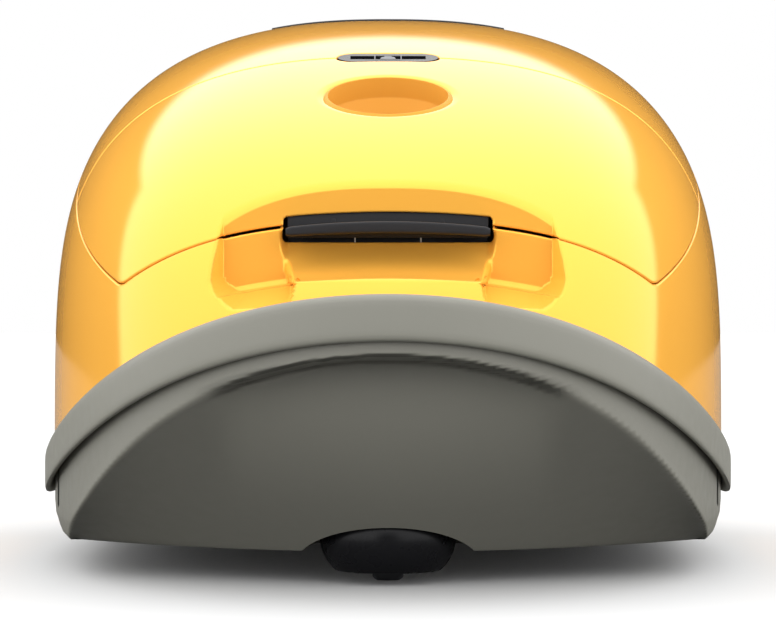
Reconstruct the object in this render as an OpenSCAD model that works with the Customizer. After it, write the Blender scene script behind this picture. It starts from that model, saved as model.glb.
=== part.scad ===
// Cylinder vacuum cleaner. The nose points to -Y, +X is its own left side, and it stands on z = 0.
// Places along the body are measured from the bumper's nose as s, so y = s - body_l / 2.

/* [Body] */
// Overall length from the bumper's nose to the tail
body_l = 476; // [472:1:484]
// Half width of the yellow shell
shell_half_w = 144; // [142:1:146]
// Height of the top of the shell
shell_h = 239.4; // [236:0.2:244]
// Height from which the side wall starts to curve into the dome
spring_z = 22.5; // [20:0.5:24]
// Wall thickness of the mouldings
wall = 2.4; // [2:0.1:3]
// Height of the underside above the floor
ground_gap = 13.5; // [12:0.5:15]

/* [Lid] */
// Distance from the nose to the lid's rear edge
split_s = 177; // [176:1:178]
// Height of the lid's front seam in the middle
seam_z = 139; // [138:0.5:140]
// Bow of the front seam, per millimetre of width squared
seam_bow = 0.00125; // [0.0012:0.00005:0.0013]
// Clearance between the lid and the shell around it
seam_gap = 0.8; // [0.6:0.1:1.2]
// Distance from the nose to the lid's hinge axis
hinge_s = 192; // [191:0.5:193]
// Height of the lid's hinge axis
hinge_z = 203; // [202:0.5:204]

/* [Hose socket] */
// Distance from the nose to the middle of the socket
socket_s = 120; // [118:1:122]
// Lean of the socket's axis towards the nose
socket_lean = 21.2; // [20:0.2:22]
// Radius of the socket's yellow mouth
mouth_r = 23.6; // [23:0.1:24]
// Radius of the bore that grips the hose
hose_r = 19; // [18.5:0.1:19.5]

/* [Bumper] */
// Height of the bumper's top edge at the nose
bumper_top = 111.5; // [110:0.5:113]
// Height of the bumper band
bumper_h = 15; // [14:0.5:16]
// How far the bumper stands out from the shell
bumper_out = 4; // [3:0.5:4]
// Fall of the bumper line towards the sides, per millimetre of width squared
bumper_fall = 0.0032; // [0.003:0.0001:0.0034]

/* [Wheels] */
// Radius of the rear wheels
wheel_r = 52; // [50:0.5:54]
// Width of the rear wheels
wheel_w = 30; // [28:1:30]
// Distance from the nose to the rear wheels' axis
wheel_s = 375; // [373:1:377]
// Distance from the nose to the castor's swivel axis
castor_s = 105; // [103:1:107]
// Radius of the castor's wheel
castor_r = 12.5; // [12:0.1:12.8]
// How far the castor's wheel trails its swivel axis
castor_trail = 12; // [11:0.5:12]

/* [Motor and reel] */
// Height of the motor's axis
motor_z = 98; // [96:1:100]
// Distance from the nose to the front of the fan housing
motor_s = 204; // [203:1:206]
// Distance from the nose to the cord reel's axis
reel_s = 388; // [386:1:388]
// Radius of the cord reel's flanges
reel_r = 64; // [60:1:65]

/* [Hidden] */

yellow = "#f5b32e";
light_grey = "#8c8c82";
dark_grey = "#4a4a44";
black = "#17171a";
steel = "#a9adb3";
far = 320;                          // larger than half of anything here
nose_s = bumper_out;                // the shell starts behind the bumper's face
front_run = 300;                    // length over which the plan widens to its full width
tail_start = 306;                   // where the plan starts to close again
tail_run = body_l - tail_start;
front_power = 2.5;
tail_power = 2.6;
peak_s = 355;                       // highest point of the top line
side_power = 2.44;                  // shape of the cross-section
top_power = 4.9;
fall_z = 104;                       // where the top line meets the bumper at the nose
tail_z = 100;                       // where the top line ends at the tail
mesh = [0, 0, 0];                   // resize() by nothing: evaluates a doubly curved shell as one mesh
seam_half_w = 104.6;                // half width between the front seam's corners
mid_bumper = bumper_top - bumper_h / 2;
socket_z = 191;
arch_r = wheel_r + 5;
wheel_in = 113;                     // inner face of the rear wheels
wheel_out = wheel_in + wheel_w;
castor_well_r = 37;
castor_well_top = 40;
pin_r = 4;
run_fit = 0.05;                     // radial clearance of a running fit
window_half = 20.6;
window_deep = 7.6;                  // half of the indicator window's length along the body
window_z = 210;
window_lean = 16.5;
recess_s = 43;                      // finger recess: its back wall, lower edge and half width
recess_low = 117;
recess_half_w = 61;
lever_half_w = 36.5;
lever_s = 55;                       // lever's pivot
lever_z = 138;
dial_s = 403;
dial_z = 231.6;
dial_lean = 19.6;
pedal_in = 36;
pedal_out = 82;
pedal_front = 388;
pedal_back = 421;
grip_front = 318;                   // hand pocket under the carrying handle
grip_back = 378;
grip_half_w = 54;
grip_z = 202;
vent_half_w = 56;                   // rear exhaust cover
vent_low = 118;
vent_high = 186;
park_s = 262;                       // front of the parking socket in the underside
brake_x = -84;                      // brake lever's pivot
brake_s = 368;

function y_at(s) = s - body_l / 2;
function bez(a, b, c, d, t) = pow(1 - t, 3) * a + 3 * pow(1 - t, 2) * t * b
    + 3 * (1 - t) * t * t * c + pow(t, 3) * d;
// Top line as [s, z]: a long rise from the nose, then a quick fall to the tail.
function rise(t) = [bez(nose_s, nose_s, 230, peak_s, t), bez(fall_z, 168, shell_h, shell_h, t)];
function fall(t) = [bez(peak_s, 425, body_l, body_l, t), bez(shell_h, shell_h, 200, tail_z, t)];
function half_w(s) = s <= nose_s ? 0
    : s < nose_s + front_run
    ? shell_half_w * pow(1 - pow(1 - (s - nose_s) / front_run, front_power), 1 / front_power)
    : s < tail_start ? shell_half_w
    : s >= body_l ? 0
    : shell_half_w * pow(1 - pow((s - tail_start) / tail_run, tail_power), 1 / tail_power);
// A place along the body, moved in from both ends by the inset.
function drawn_in(s, inset) = body_l / 2 + (s - body_l / 2) * (1 - 2 * inset / body_l);
function section(w, s, top, low) = concat([[w, y_at(s), low]],
    [for (a = [0:7.5:180]) [w * sign(cos(a)) * pow(abs(cos(a)), 2 / side_power), y_at(s),
        spring_z + (top - spring_z) * pow(sin(a), 2 / top_power)]],
    [[-w, y_at(s), low]]);
function plan_half() = concat(
    [for (a = [0:6:90]) [shell_half_w * pow(sin(a), 2 / front_power),
        nose_s + front_run * (1 - pow(cos(a), 2 / front_power))]],
    [for (b = [0:7.5:90]) [shell_half_w * pow(cos(b), 2 / tail_power),
        tail_start + tail_run * pow(sin(b), 2 / tail_power)]]);
// Outline of the body in plan, moved out by off.
function plan(off) = let (h = plan_half(), n = len(h))
    concat([for (p = h) [p[0] < 1 ? 0 : p[0] + off, y_at(drawn_in(p[1], -off))]],
        [for (i = [n - 2:-1:1]) [-(h[i][0] < 1 ? 0 : h[i][0] + off), y_at(drawn_in(h[i][1], -off))]]);
// Height of the bumper's line, for a line that starts at z in the middle.
function bumper_line(x, z) = z - bumper_fall * x * x;
function seam_line(x) = seam_z - seam_bow * x * x - 12.4 * pow(x / seam_half_w, 4);
function side_seam(s) = 113 + 0.317 * (s - 62);

module at(s = 0, x = 0, z = 0) translate([x, y_at(s), z]) children();

// Closed skin over rings of points, each ring anticlockwise as seen from the first one's outside.
module loft(rings) {
    n = len(rings[0]);
    m = len(rings);
    polyhedron([for (r = rings) each r], concat([[for (j = [n - 1:-1:0]) j]],
        [[for (j = [0:n - 1]) (m - 1) * n + j]],
        [for (i = [0:m - 2], j = [0:n - 1]) let (k = (j + 1) % n)
            each [[i * n + j, i * n + k, (i + 1) * n + k], [i * n + j, (i + 1) * n + k, (i + 1) * n + j]]]));
}

// The upper body's outer form, shrunk by inset.
module skin(inset = 0) loft(concat(
    [for (t = [0.05:0.05:1]) let (p = rise(t))
        section(half_w(p[0]) - inset, drawn_in(p[0], inset), p[1] - inset, 18)],
    [for (t = [0.1:0.1:1]) let (p = fall(t))
        section(half_w(min(p[0], body_l - 0.6)) - inset, drawn_in(p[0], inset), p[1] - inset, 18)]));

// The base's outer form: upright at the bumper and tucked in towards the floor.
module tub(inset = 0, top = 112) loft([for (r = [[top, 1], [60, 0.4], [27, 0.2], [19.5, 1.4], [ground_gap + inset, 3.6]])
    [for (p = plan(-r[1] - inset)) [p[0], p[1], r[0]]]]);

module plan_prism(off, low, high) translate([0, 0, low]) linear_extrude(high - low) polygon(plan(off));

// Everything above the bumper line that starts at height z.
module above_bumper(z) rotate([90, 0, 0]) translate([0, 0, -far]) linear_extrude(2 * far)
    polygon(concat([for (x = [-160:16:160]) [x, bumper_line(x, z)]], [[160, far], [-160, far]]));

module side_prism(points, half = far) rotate([90, 0, 90]) translate([0, 0, -half])
    linear_extrude(2 * half) polygon([for (p = points) [y_at(p[0]), p[1]]]);

// Everything above the side seam: straight along the lid, then level along the rear cover.
module above_seam(lift) side_prism([[-40, side_seam(-40) + lift], [226, side_seam(226) + lift],
    [300, 178 + lift], [360, 176 + lift], [430, 166 + lift], [body_l + 20, 152 + lift],
    [body_l + 20, far], [-40, far]]);

module above_front_seam(lift) rotate([90, 0, 0]) translate([0, 0, -far]) linear_extrude(2 * far)
    polygon(concat([for (x = [-150:10:150]) [x, seam_line(x) + lift]], [[150, far], [-150, far]]));

// The space that the lid takes up, shrunk by gap.
module lid_zone(gap = 0) intersection() {
    above_seam(gap);
    above_front_seam(gap);
    translate([-far, y_at(-40), 0]) cube([2 * far, 40 + split_s - gap, far]);
}

module window_outline(gap = 0) hull() for (e = [-1, 1])
    translate([e * (window_half - window_deep), 0]) circle(window_deep + gap, $fn = 28);

module window_prism(gap = 0, low = 150) at(split_s, 0, low) linear_extrude(100) window_outline(gap);

// Finger recess in the nose: a steep wall with a shelf below it, across the lid's seam.
module latch_recess(grow = 0) intersection() {
    side_prism([[-40, recess_low - grow], [recess_s - 4 + grow, recess_low - grow],
        [recess_s + 1 + grow, 200], [-40, 200]]);
    rotate([90, 0, 0]) translate([0, 0, -far]) linear_extrude(2 * far) hull() for (e = [-1, 1]) {
        translate([e * (recess_half_w - 12), recess_low + 12]) circle(12 + grow, $fn = 32);
        translate([e * (recess_half_w - 12), 200]) circle(12 + grow, $fn = 32);
    }
}

// Slot that the push bar comes out of, across the seam.
module lever_slot() translate([-lever_half_w - 1, y_at(0), 133]) cube([2 * lever_half_w + 2, 60, 9]);

// A shell wall with the finger recess pressed into it.
module pressed_skin(inset) difference() {
    skin(inset);
    latch_recess(inset);
}

module socket_frame() at(socket_s, 0, socket_z) rotate([socket_lean, 0, 0]) children();

module grip_pocket(grow = 0) at(0, 0, 0) hull() for (e = [-1, 1], s = [grip_front + 14, grip_back - 14])
    translate([e * (grip_half_w - 14), s, grip_z - grow]) cylinder(h = 100, r = 14 + grow, $fn = 28);

module pedal_prism(side, grow = 0) at(0, 0, 0) hull()
    for (x = [pedal_in + 6, pedal_out - 6], s = [pedal_front + 6, pedal_back - 6])
        translate([side * x, s, 178]) cylinder(h = 80, r = 6 + grow, $fn = 24);

module dial_frame() at(dial_s, 0, dial_z) rotate([-dial_lean, 0, 0]) children();

module vent_prism(grow = 0) translate([-vent_half_w - grow, y_at(430), vent_low - grow])
    cube([2 * (vent_half_w + grow), 80, vent_high - vent_low + 2 * grow]);

// The scoop under the nose: a ruled surface from the bumper's arc back down to the floor.
function scoop_edge(x) = [x, y_at(nose_s - 1 + 0.0042 * x * x), 91.2 - 0.0044 * x * x];
function scoop_foot(x) = [x, y_at(87 + 0.0040 * x * x), ground_gap];
function along(a, b, t) = a + (b - a) * t;
module scoop(lift = 0) loft([for (x = [150:-7.5:-150]) let (a = scoop_edge(x), b = scoop_foot(x))
    [along(a, b, -0.6) + [0, 0, lift], [x, -far, along(a, b, -0.6)[2] + lift], [x, -far, -40],
        [x, along(a, b, 1.7)[1], -40], along(a, b, 1.7) + [0, 0, lift]]]);

module hand_pocket(grow = 0) hull() for (e = [-1, 1], p = [[44, 66], [64, 44]])
    at(p[0], e * 56, p[1]) sphere(16 + grow, $fn = 24);

module castor_well(grow = 0) at(castor_s, 0, ground_gap - 20)
    cylinder(h = castor_well_top - ground_gap + 20 + grow, r = castor_well_r + grow, $fn = 48);

module wheel_arches(grow = 0, x_in = 108) for (e = [-1, 1])
    at(wheel_s, e * (x_in - grow), wheel_r) rotate([0, 90 * e, 0]) cylinder(h = 80, r = arch_r + grow, $fn = 56);

module parking_recess(grow = 0) translate([-17 - grow, y_at(park_s - 26) - grow, -10])
    cube([34 + 2 * grow, 64 + 2 * grow, 42 + grow]);

screw_places = [for (e = [-1, 1], s = [170, 250, 300]) [e * 100, s]];

module lower_form(inset) difference() {
    tub(inset);
    scoop(inset * 1.4);
    hand_pocket(inset);
    castor_well(inset);
    wheel_arches(inset);
    parking_recess(inset);
}

module lower_housing() color(dark_grey) resize(mesh) difference() {
    lower_form(0);
    difference() {
        lower_form(wall);
        for (p = screw_places) at(p[1], p[0], 0) cylinder(h = 30, r = 6.5, $fn = 20);
    }
    above_bumper(mid_bumper - 0.2);
    for (p = screw_places) at(p[1], p[0], 0) {
        cylinder(h = 80, r = 2.1, $fn = 16);
        cylinder(h = 18, r = 4.2, $fn = 16);
    }
    at(castor_s, 0, 0) cylinder(h = 60, r = 8, $fn = 24);
    for (e = [-1, 1]) at(wheel_s, e * 120, wheel_r) rotate([0, -90 * e, 0]) cylinder(h = 30, r = 6.3, $fn = 24);
    at(440, 45, 78) rotate([-90, 0, 0]) cylinder(h = 60, r = 9.4, $fn = 28);
}

module side_housing() color(yellow) resize(mesh) difference() {
    intersection() {
        difference() {
            pressed_skin(0);
            pressed_skin(wall);
        }
        above_bumper(mid_bumper + 0.2);
    }
    lid_zone();
    lever_slot();
    intersection() {
        above_seam(0);
        translate([-far, y_at(split_s - 2), 0]) cube([2 * far, far, far]);
    }
    wheel_arches();
    vent_prism(0.8);
}

module control_cover() color(yellow) resize(mesh) difference() {
    intersection() {
        difference() {
            difference() {
                skin();
                grip_pocket();
            }
            difference() {
                skin(wall);
                grip_pocket(wall);
            }
        }
        above_seam(0.3);
        translate([-far, y_at(split_s + 0.6), 0]) cube([2 * far, far, far]);
    }
    window_prism(0.5);
    for (e = [-1, 1]) pedal_prism(e, 0.6);
    dial_frame() cylinder(h = 60, r = 18, center = true, $fn = 40);
    vent_prism(0.8);
}

module bumper() color(light_grey) resize(mesh) difference() {
    plan_prism(bumper_out, 10, 120);
    plan_prism(0.3, 0, 130);
    above_bumper(bumper_top);
    difference() {
        translate([-far, -far, 0]) cube([2 * far, 2 * far, far]);
        above_bumper(bumper_top - bumper_h);
    }
    translate([-far, y_at(wheel_s - arch_r - 3), 0]) cube([2 * far, far, far]);
}

module chamber_form(inset) intersection() {
    side_prism([[62 + inset, 300], [62 + inset, 74 + inset / 2], [84 + inset / 2, 50 + inset],
        [186 - inset, 50 + inset], [186 - inset, 300]], 100 - inset);
    plan_prism(-13 - inset, 0, 300);
}

module chamber_rim(low) difference() {
    children();
    above_seam(low);
}

module dust_chamber() color(dark_grey) resize(mesh) {
    chamber_rim(-8) difference() {
        chamber_form(0);
        chamber_form(2);
        at(180, 0, 98) rotate([-90, 0, 0]) cylinder(h = 20, r = 44, $fn = 36);
    }
    lid_keeper();
}

// Post on the chamber's front wall. Its head stands just behind the lever's hook.
module lid_keeper() side_prism([[58.4, 90], [62.5, 86], [62.5, 104], [61.3, 104], [61.3, 130.5],
    [58, 130.5], [58, 127.6], [58.4, 127.6]], 16);

module chamber_seal() color(black) resize(mesh) intersection() {
    difference() {
        chamber_form(-0.4);
        chamber_form(2.4);
    }
    above_seam(-7.8);
    difference() {
        translate([-far, -far, 0]) cube([2 * far, 2 * far, far]);
        above_seam(-4);
    }
}

// Frame that holds the bag's card collar under the hose socket.
module bag_holder() color(dark_grey) socket_frame() translate([0, 0, -44]) difference() {
    translate([-42, -38, 0]) cube([84, 76, 7]);
    translate([-37.2, -34.2, 2.4]) cube([74.4, 80, 2.6]);
    translate([0, 0, -1]) cylinder(h = 10, r = 27, $fn = 48);
    for (e = [-1, 1]) translate([e * 34, -30, -1]) cylinder(h = 10, r = 2, $fn = 24);
}

module bag_collar() color("#b99a6b") socket_frame() translate([0, 0, -41.5]) difference() {
    translate([-37, -34, 0]) cube([74, 72, 2.2]);
    translate([0, 0, -1]) cylinder(h = 5, r = hose_r + 2.5, $fn = 48);
}

module dust_bag() color("#d8d3c4") resize(mesh) difference() {
    hull() for (e = [-1, 1], p = [[94, 74, 20], [158, 74, 20], [158, 120, 22], [100, 108, 20]])
        at(p[0], e * 58, p[1]) sphere(p[2], $fn = 20);
    socket_frame() translate([-60, -60, -45.5]) cube([120, 120, 60]);
}

module filter_frame() color(dark_grey) at(188, 0, 98) rotate([-90, 0, 0]) difference() {
    translate([-54, -54, 0]) cube([108, 108, 8]);
    translate([-48.3, -48.3, 2]) cube([96.6, 96.6, 10]);
    translate([0, 0, -1]) cylinder(h = 5, r = 42, $fn = 48);
}

module motor_filter() color("#e8e6df") at(190.4, 0, 98) rotate([-90, 0, 0])
    translate([-48, -48, 0]) cube([96, 96, 5.4]);

module motor_axis(s = 0) at(motor_s + s, 0, motor_z) rotate([-90, 0, 0]) children();

module ring(r_out, r_in, h) difference() {
    cylinder(h = h, r = r_out, $fn = 64);
    translate([0, 0, -1]) cylinder(h = h + 2, r = r_in, $fn = 64);
}

module motor_mounts() color(black) {
    motor_axis(-5) ring(66, 40, 4.7);
    motor_axis(108.3) ring(24, 12, 10);
}

module fan_housing() color(steel) motor_axis() difference() {
    cylinder(h = 34, r = 60, $fn = 64);
    translate([0, 0, 1.5]) cylinder(h = 31, r = 58.5, $fn = 64);
    translate([0, 0, -1]) cylinder(h = 4, r = 22, $fn = 48);
    translate([0, 0, 30]) cylinder(h = 6, r = 9.2, $fn = 48);
    for (a = [0:45:315]) rotate(a) translate([46, 0, 30]) cylinder(h = 6, r = 6, $fn = 24);
}

module motor_frame() color(steel) motor_axis(34.3) difference() {
    union() {
        ring(43, 40.3, 62);
        translate([0, 0, 62]) ring(43, 9.2, 3);
        translate([0, 0, 62]) ring(16, 9.2, 12);
        for (e = [-1, 1]) translate([e * 20 - 6, -5, 52]) cube([12, 10, 11]);
    }
    for (e = [-1, 1]) translate([e * 20 - 8, -2.7, 53]) cube([16, 5.4, 6.4]);
    for (a = [45:90:315]) rotate(a) translate([0, 0, 50]) cube([14, 90, 20], center = true);
}

module stator_core() color("#7c8088") motor_axis(40) difference() {
    ring(40, 25, 34);
    for (e = [-1, 1]) translate([e * 29 - 5, -60, -1]) cube([10, 120, 6]);
    for (e = [-1, 1]) translate([e * 29 - 5, -60, 29]) cube([10, 120, 6]);
}

module field_coils() color("#b5651d") motor_axis(40) for (e = [-1, 1]) {
    translate([e * 29 - 4.6, -20, -4]) cube([9.2, 40, 8.6]);
    translate([e * 29 - 4.6, -20, 29.4]) cube([9.2, 40, 8.6]);
}

module carbon_brushes() color("#2b2b2b") motor_axis(34.3)
    for (e = [-1, 1]) translate([e * 19.5 - 7, -2.5, 53.2]) cube([14, 5, 6]);

module bearing() rotate_extrude($fn = 48) difference() {
    translate([pin_r + run_fit, 0]) square([9.1 - pin_r - run_fit, 7]);
    translate([5.6, 6]) square([2, 2]);
    translate([5.6, -1]) square([2, 2]);
}

module motor_bearings() color(steel) {
    motor_axis(30.5) bearing();
    motor_axis(100) bearing();
}

module rotor_shaft() color("#c9ccd1") motor_axis(6) cylinder(h = 104, r = pin_r, $fn = 48);

module impeller() color(steel) motor_axis(8) {
    difference() {
        union() {
            cylinder(h = 1.4, r = 54, $fn = 64);
            cylinder(h = 18, r = 9, $fn = 48);
            for (a = [0:40:320]) rotate(a) rotate([0, 0, -18]) translate([9, -0.8, 1]) cube([42, 1.6, 15]);
        }
        translate([0, 0, -1]) cylinder(h = 22, r = pin_r, $fn = 48);
    }
}

module armature() color("#8a6a4a") motor_axis(41) difference() {
    union() {
        cylinder(h = 32, r = 24.2, $fn = 60);
        translate([0, 0, -3]) cylinder(h = 38, r = 19, $fn = 48);
    }
    for (a = [0:30:330]) rotate(a) translate([22, -1.2, -5]) cube([6, 2.4, 50]);
    translate([0, 0, -5]) cylinder(h = 50, r = pin_r, $fn = 48);
}

module commutator() color("#b87333") motor_axis(84) difference() {
    cylinder(h = 12, r = 12, $fn = 48);
    for (a = [0:30:330]) rotate(a) translate([11, -0.4, 1.5]) cube([4, 0.8, 14]);
    translate([0, 0, -1]) cylinder(h = 16, r = pin_r, $fn = 48);
}

module exhaust_filter() color("#dfe3e6") at(424, -46, 122) difference() {
    cube([92, 20, 56]);
    for (x = [6:8:86]) translate([x - 1.5, -1, 4]) cube([3, 14, 48]);
}

module cord_outlet() color(black) at(454, 45, 78) rotate([-90, 0, 0]) rotate_extrude($fn = 48)
    polygon([[4.5, 0], [9, 0], [9, 19], [8, 20], [5.5, 20], [4.5, 19]]);

module carry_handle() color(black) resize(mesh) difference() {
    intersection() {
        skin(-1.2);
        at(336, -grip_half_w + 0.3, 214) cube([2 * grip_half_w - 0.6, 24, 40]);
    }
    at(348, 0, 205) rotate([0, 90, 0]) cylinder(h = 150, r = 13, center = true, $fn = 40);
}

module reel_base() color(dark_grey) at(reel_s, 0, 0) difference() {
    union() {
        translate([0, 0, 54]) cylinder(h = 3, r = reel_r - 4, $fn = 64);
        translate([0, 0, ground_gap + wall + 0.2]) ring(30, 26, 38);
        translate([0, 0, 50]) cylinder(h = 52, r = 8, $fn = 48);
        translate([brake_x, brake_s - reel_s, 50]) cylinder(h = 26, r = pin_r, $fn = 48);
        translate([brake_x - 8, brake_s - reel_s - 6, 50]) cube([60, 14, 7]);
    }
    translate([0, 0, 45]) cylinder(h = 70, r = 2, $fn = 24);
}

module reel_drum() color("#9a9a90") at(reel_s, 0, 58) difference() {
    union() {
        cylinder(h = 2, r = reel_r, $fn = 72);
        cylinder(h = 40, r = 34, $fn = 64);
        translate([0, 0, 38]) cylinder(h = 2, r = reel_r, $fn = 72);
    }
    translate([0, 0, -1]) cylinder(h = 50, r = 8 + run_fit, $fn = 48);
    translate([0, 0, 4]) ring(31, 12, 50);
}

// Flat coiled spring inside the drum.
module reel_spring() color(steel) at(reel_s, 0, 64) for (k = [0:4]) ring(16 + 3 * k, 15.2 + 3 * k, 14);

module brake_lever() color(black) at(brake_s, brake_x, 66) {
    difference() {
        union() {
            cylinder(h = 8, r = 7, $fn = 48);
            rotate(-40) translate([0, -3, 0]) cube([24, 6, 8]);
            rotate(-40) translate([27.6, 0, -6]) cylinder(h = 20, r = 4.6, $fn = 48);
        }
        translate([0, 0, -1]) cylinder(h = 12, r = pin_r + run_fit, $fn = 48);
    }
}

module circuit_board() color("#2f6b3a") at(384, -60, 192) {
    cube([120, 48, 1.6]);
    for (x = [12, 30, 84]) translate([x, 10, -12]) cylinder(h = 11.9, r = 5, $fn = 24);
    translate([50, 14, -9]) cube([22, 16, 8.9]);
}

module power_switch() color(black) at(392, 44, 194) {
    cube([22, 12, 9]);
    translate([8, 4, 9.1]) cube([5, 4, 2]);
}

module dial_control() color("#3b5f8a") dial_frame() {
    translate([-9, -9, -30]) cube([18, 18, 9]);
    translate([0, 0, -20.8]) cylinder(h = 13, r = 3, $fn = 40);
}

module power_dial() color(dark_grey) dial_frame() difference() {
    union() {
        translate([0, 0, -6]) cylinder(h = 9, r = 17, $fn = 64);
        translate([0, 0, 2]) cylinder(h = 3.4, r1 = 15, r2 = 13.5, $fn = 64);
    }
    for (a = [0:20:340]) rotate(a) translate([18.2, 0, -2]) cylinder(h = 8, r = 1.8, $fn = 16);
    translate([-1, 6, 4.4]) cube([2, 9, 3]);
    translate([0, 0, -7]) cylinder(h = 7, r = 3 + run_fit, $fn = 40);
}

module pedal(side) resize(mesh) difference() {
    intersection() {
        skin(-2);
        pedal_prism(side);
    }
    skin(6);
}

module power_pedal() color(dark_grey) pedal(1);

module rewind_pedal() color(dark_grey) pedal(-1);

module exhaust_cover() color(dark_grey) resize(mesh) difference() {
    intersection() {
        difference() {
            skin();
            skin(wall);
        }
        vent_prism();
    }
    for (z = [vent_low + 14:8:vent_high - 12]) translate([-44, y_at(430), z]) cube([88, 80, 4]);
}

module screw() difference() {
    union() {
        cylinder(h = 2.4, r = 3.6, $fn = 32);
        cylinder(h = 16, r = 1.9, $fn = 24);
    }
    for (a = [0, 90]) rotate(a) translate([-2, -0.4, -1]) cube([4, 0.8, 2]);
}

module housing_screws() color(steel) for (p = screw_places) at(p[1], p[0], 15.2) screw();

module wheel_axles() color(steel) for (e = [-1, 1]) at(wheel_s, e * 96, wheel_r) rotate([0, 90 * e, 0]) {
    cylinder(h = 42, r = 6, $fn = 48);
    cylinder(h = 3, r = 11, $fn = 48);
}

// The wheel, tyre and cap turn on the X axis; drawn for the +X side.
module wheel_place(e) at(wheel_s, 0, wheel_r) rotate([0, 90 * e, 0]) children();

module rim() rotate_extrude($fn = 64) polygon([[6 + run_fit, wheel_in + 1], [12, wheel_in + 1],
    [12, wheel_in + 9], [42, wheel_in + 9], [42, wheel_in + 1], [46, wheel_in + 1], [46, wheel_out - 3],
    [42, wheel_out - 3], [38, wheel_in + 13], [12, wheel_in + 13], [12, wheel_out - 6],
    [6 + run_fit, wheel_out - 6]]);

module tyre() rotate_extrude($fn = 72) polygon([[46.1, wheel_in], [wheel_r - 1.5, wheel_in],
    [wheel_r, wheel_in + 2], [wheel_r, wheel_out - 6], [wheel_r - 2, wheel_out - 2], [46.1, wheel_out - 2]]);

module hub_cap() rotate_extrude($fn = 64) polygon([[0, wheel_out - 2.4], [40.4, wheel_out - 2.4],
    [40.4, wheel_out - 1.4], [34, wheel_out], [0, wheel_out]]);

module left_wheel() color(dark_grey) wheel_place(1) rim();

module left_tyre() color(black) wheel_place(1) tyre();

module left_hub_cap() color(light_grey) wheel_place(1) hub_cap();

module right_wheel() color(dark_grey) wheel_place(-1) rim();

module right_tyre() color(black) wheel_place(-1) tyre();

module right_hub_cap() color(light_grey) wheel_place(-1) hub_cap();

module castor_mount() color(steel) at(castor_s, 0, 0) {
    translate([0, 0, castor_well_top + wall + 0.1]) cylinder(h = 3, r = 14, $fn = 48);
    translate([0, 0, 25]) cylinder(h = castor_well_top + wall - 24, r = pin_r, $fn = 48);
}

// Domed swivel with two cheeks; it turns on the pin of the castor mount.
module castor_fork() color(black) at(castor_s, 0, 0) difference() {
    union() {
        rotate_extrude($fn = 64) polygon([[pin_r + run_fit, 26.5], [8, 26.5], [8, 33], [18, 32.2],
            [22, 28], [24, 20], [24, 9], [26.5, 9], [26.5, 20], [24.5, 29], [19.5, 34.6], [8, 38],
            [pin_r + run_fit, 38]]);
        for (e = [-1, 1]) translate([e * 11.3 - 3.5, -8, 4.7]) cube([7, 28, 27.5]);
    }
    translate([-7.3, 0, -1]) cube([14.6, 40, 27.2]);
    translate([-30, castor_trail, castor_r]) rotate([0, 90, 0]) cylinder(h = 60, r = 2.5 + run_fit, $fn = 40);
}

module castor_axle() color(steel) at(castor_s + castor_trail, -14.6, castor_r) rotate([0, 90, 0])
    cylinder(h = 29.2, r = 2.5, $fn = 40);

module castor_wheel() color("#1f1f22") at(castor_s + castor_trail, -6.7, castor_r) rotate([0, 90, 0])
    rotate_extrude($fn = 64) polygon([[2.5 + run_fit, 0], [10, 0], [castor_r, 1.8], [castor_r, 11.6],
        [10, 13.4], [2.5 + run_fit, 13.4]]);

// Block with a T slot that a floor tool's hook slides into from the nose end.
module parking_socket() color(black) at(park_s + 0.3, -16.5, 14) difference() {
    cube([33, 37.4, 17.6]);
    translate([4, -1, 8.5]) cube([25, 36, 6]);
    translate([10, -1, -1]) cube([13, 36, 10]);
}

module hinge_bracket() color(black) at(hinge_s, 0, hinge_z) for (e = [-1, 1]) {
    translate([e * 40.5 - 2.5, -5, -16]) cube([5, 10, 19]);
    translate([e * 23.5 - 1.5, -5, -16]) cube([3, 10, 19]);
    translate([e * 32 - 11, -5, -27]) cube([22, 26, 4]);
    translate([e * 40.5 - 2.5, -5, -27]) cube([5, 10, 12]);
    translate([e * 23.5 - 1.5, -5, -27]) cube([3, 10, 12]);
    translate([e * 32 - 8, 0, 0]) rotate([0, 90, 0]) cylinder(h = 16, r = 2, $fn = 40);
}

// Swan-neck arms that carry the lid round the edge of the rear cover.
module hinge_arms() color(black) at(hinge_s, 0, hinge_z) for (e = [-1, 1])
    translate([e * 32 - 4, 0, 0]) difference() {
        union() {
            rotate([0, 90, 0]) cylinder(h = 8, r = 4.6, $fn = 48);
            intersection() {
                rotate([0, 90, 0]) difference() {
                    cylinder(h = 8, r = 21, $fn = 64);
                    translate([0, 0, -1]) cylinder(h = 10, r = 17, $fn = 64);
                }
                translate([-1, -30, -30]) cube([10, 30, 30.4]);
            }
            translate([0, -2, -20]) cube([8, 4, 18]);
        }
        translate([-1, 0, 0]) rotate([0, 90, 0]) cylinder(h = 10, r = 2 + run_fit, $fn = 40);
    }

module dust_lid() color(yellow) resize(mesh) difference() {
    intersection() {
        difference() {
            pressed_skin(0);
            pressed_skin(wall);
        }
        lid_zone(seam_gap);
    }
    window_prism(2);
    socket_frame() cylinder(h = 60, r = mouth_r + 2.6, center = true, $fn = 56);
    lever_slot();
}

module hose_socket() color(yellow) socket_frame() rotate_extrude($fn = 64)
    polygon([[mouth_r, 0], [mouth_r + 2.3, 0], [mouth_r + 2.3, -5.8], [mouth_r + 7, -5.8],
        [mouth_r + 7, -8], [mouth_r + 2.3, -8], [mouth_r + 2.3, -10.2], [hose_r + 2.4, -15.4],
        [hose_r + 2.4, -34], [hose_r, -34], [hose_r, -14], [mouth_r, -8.8]]);

module socket_seal() color(black) socket_frame() rotate_extrude($fn = 64)
    polygon([[hose_r + 2.5, -24], [hose_r + 6, -24], [hose_r + 6, -27], [hose_r + 2.5, -36.4]]);

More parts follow.
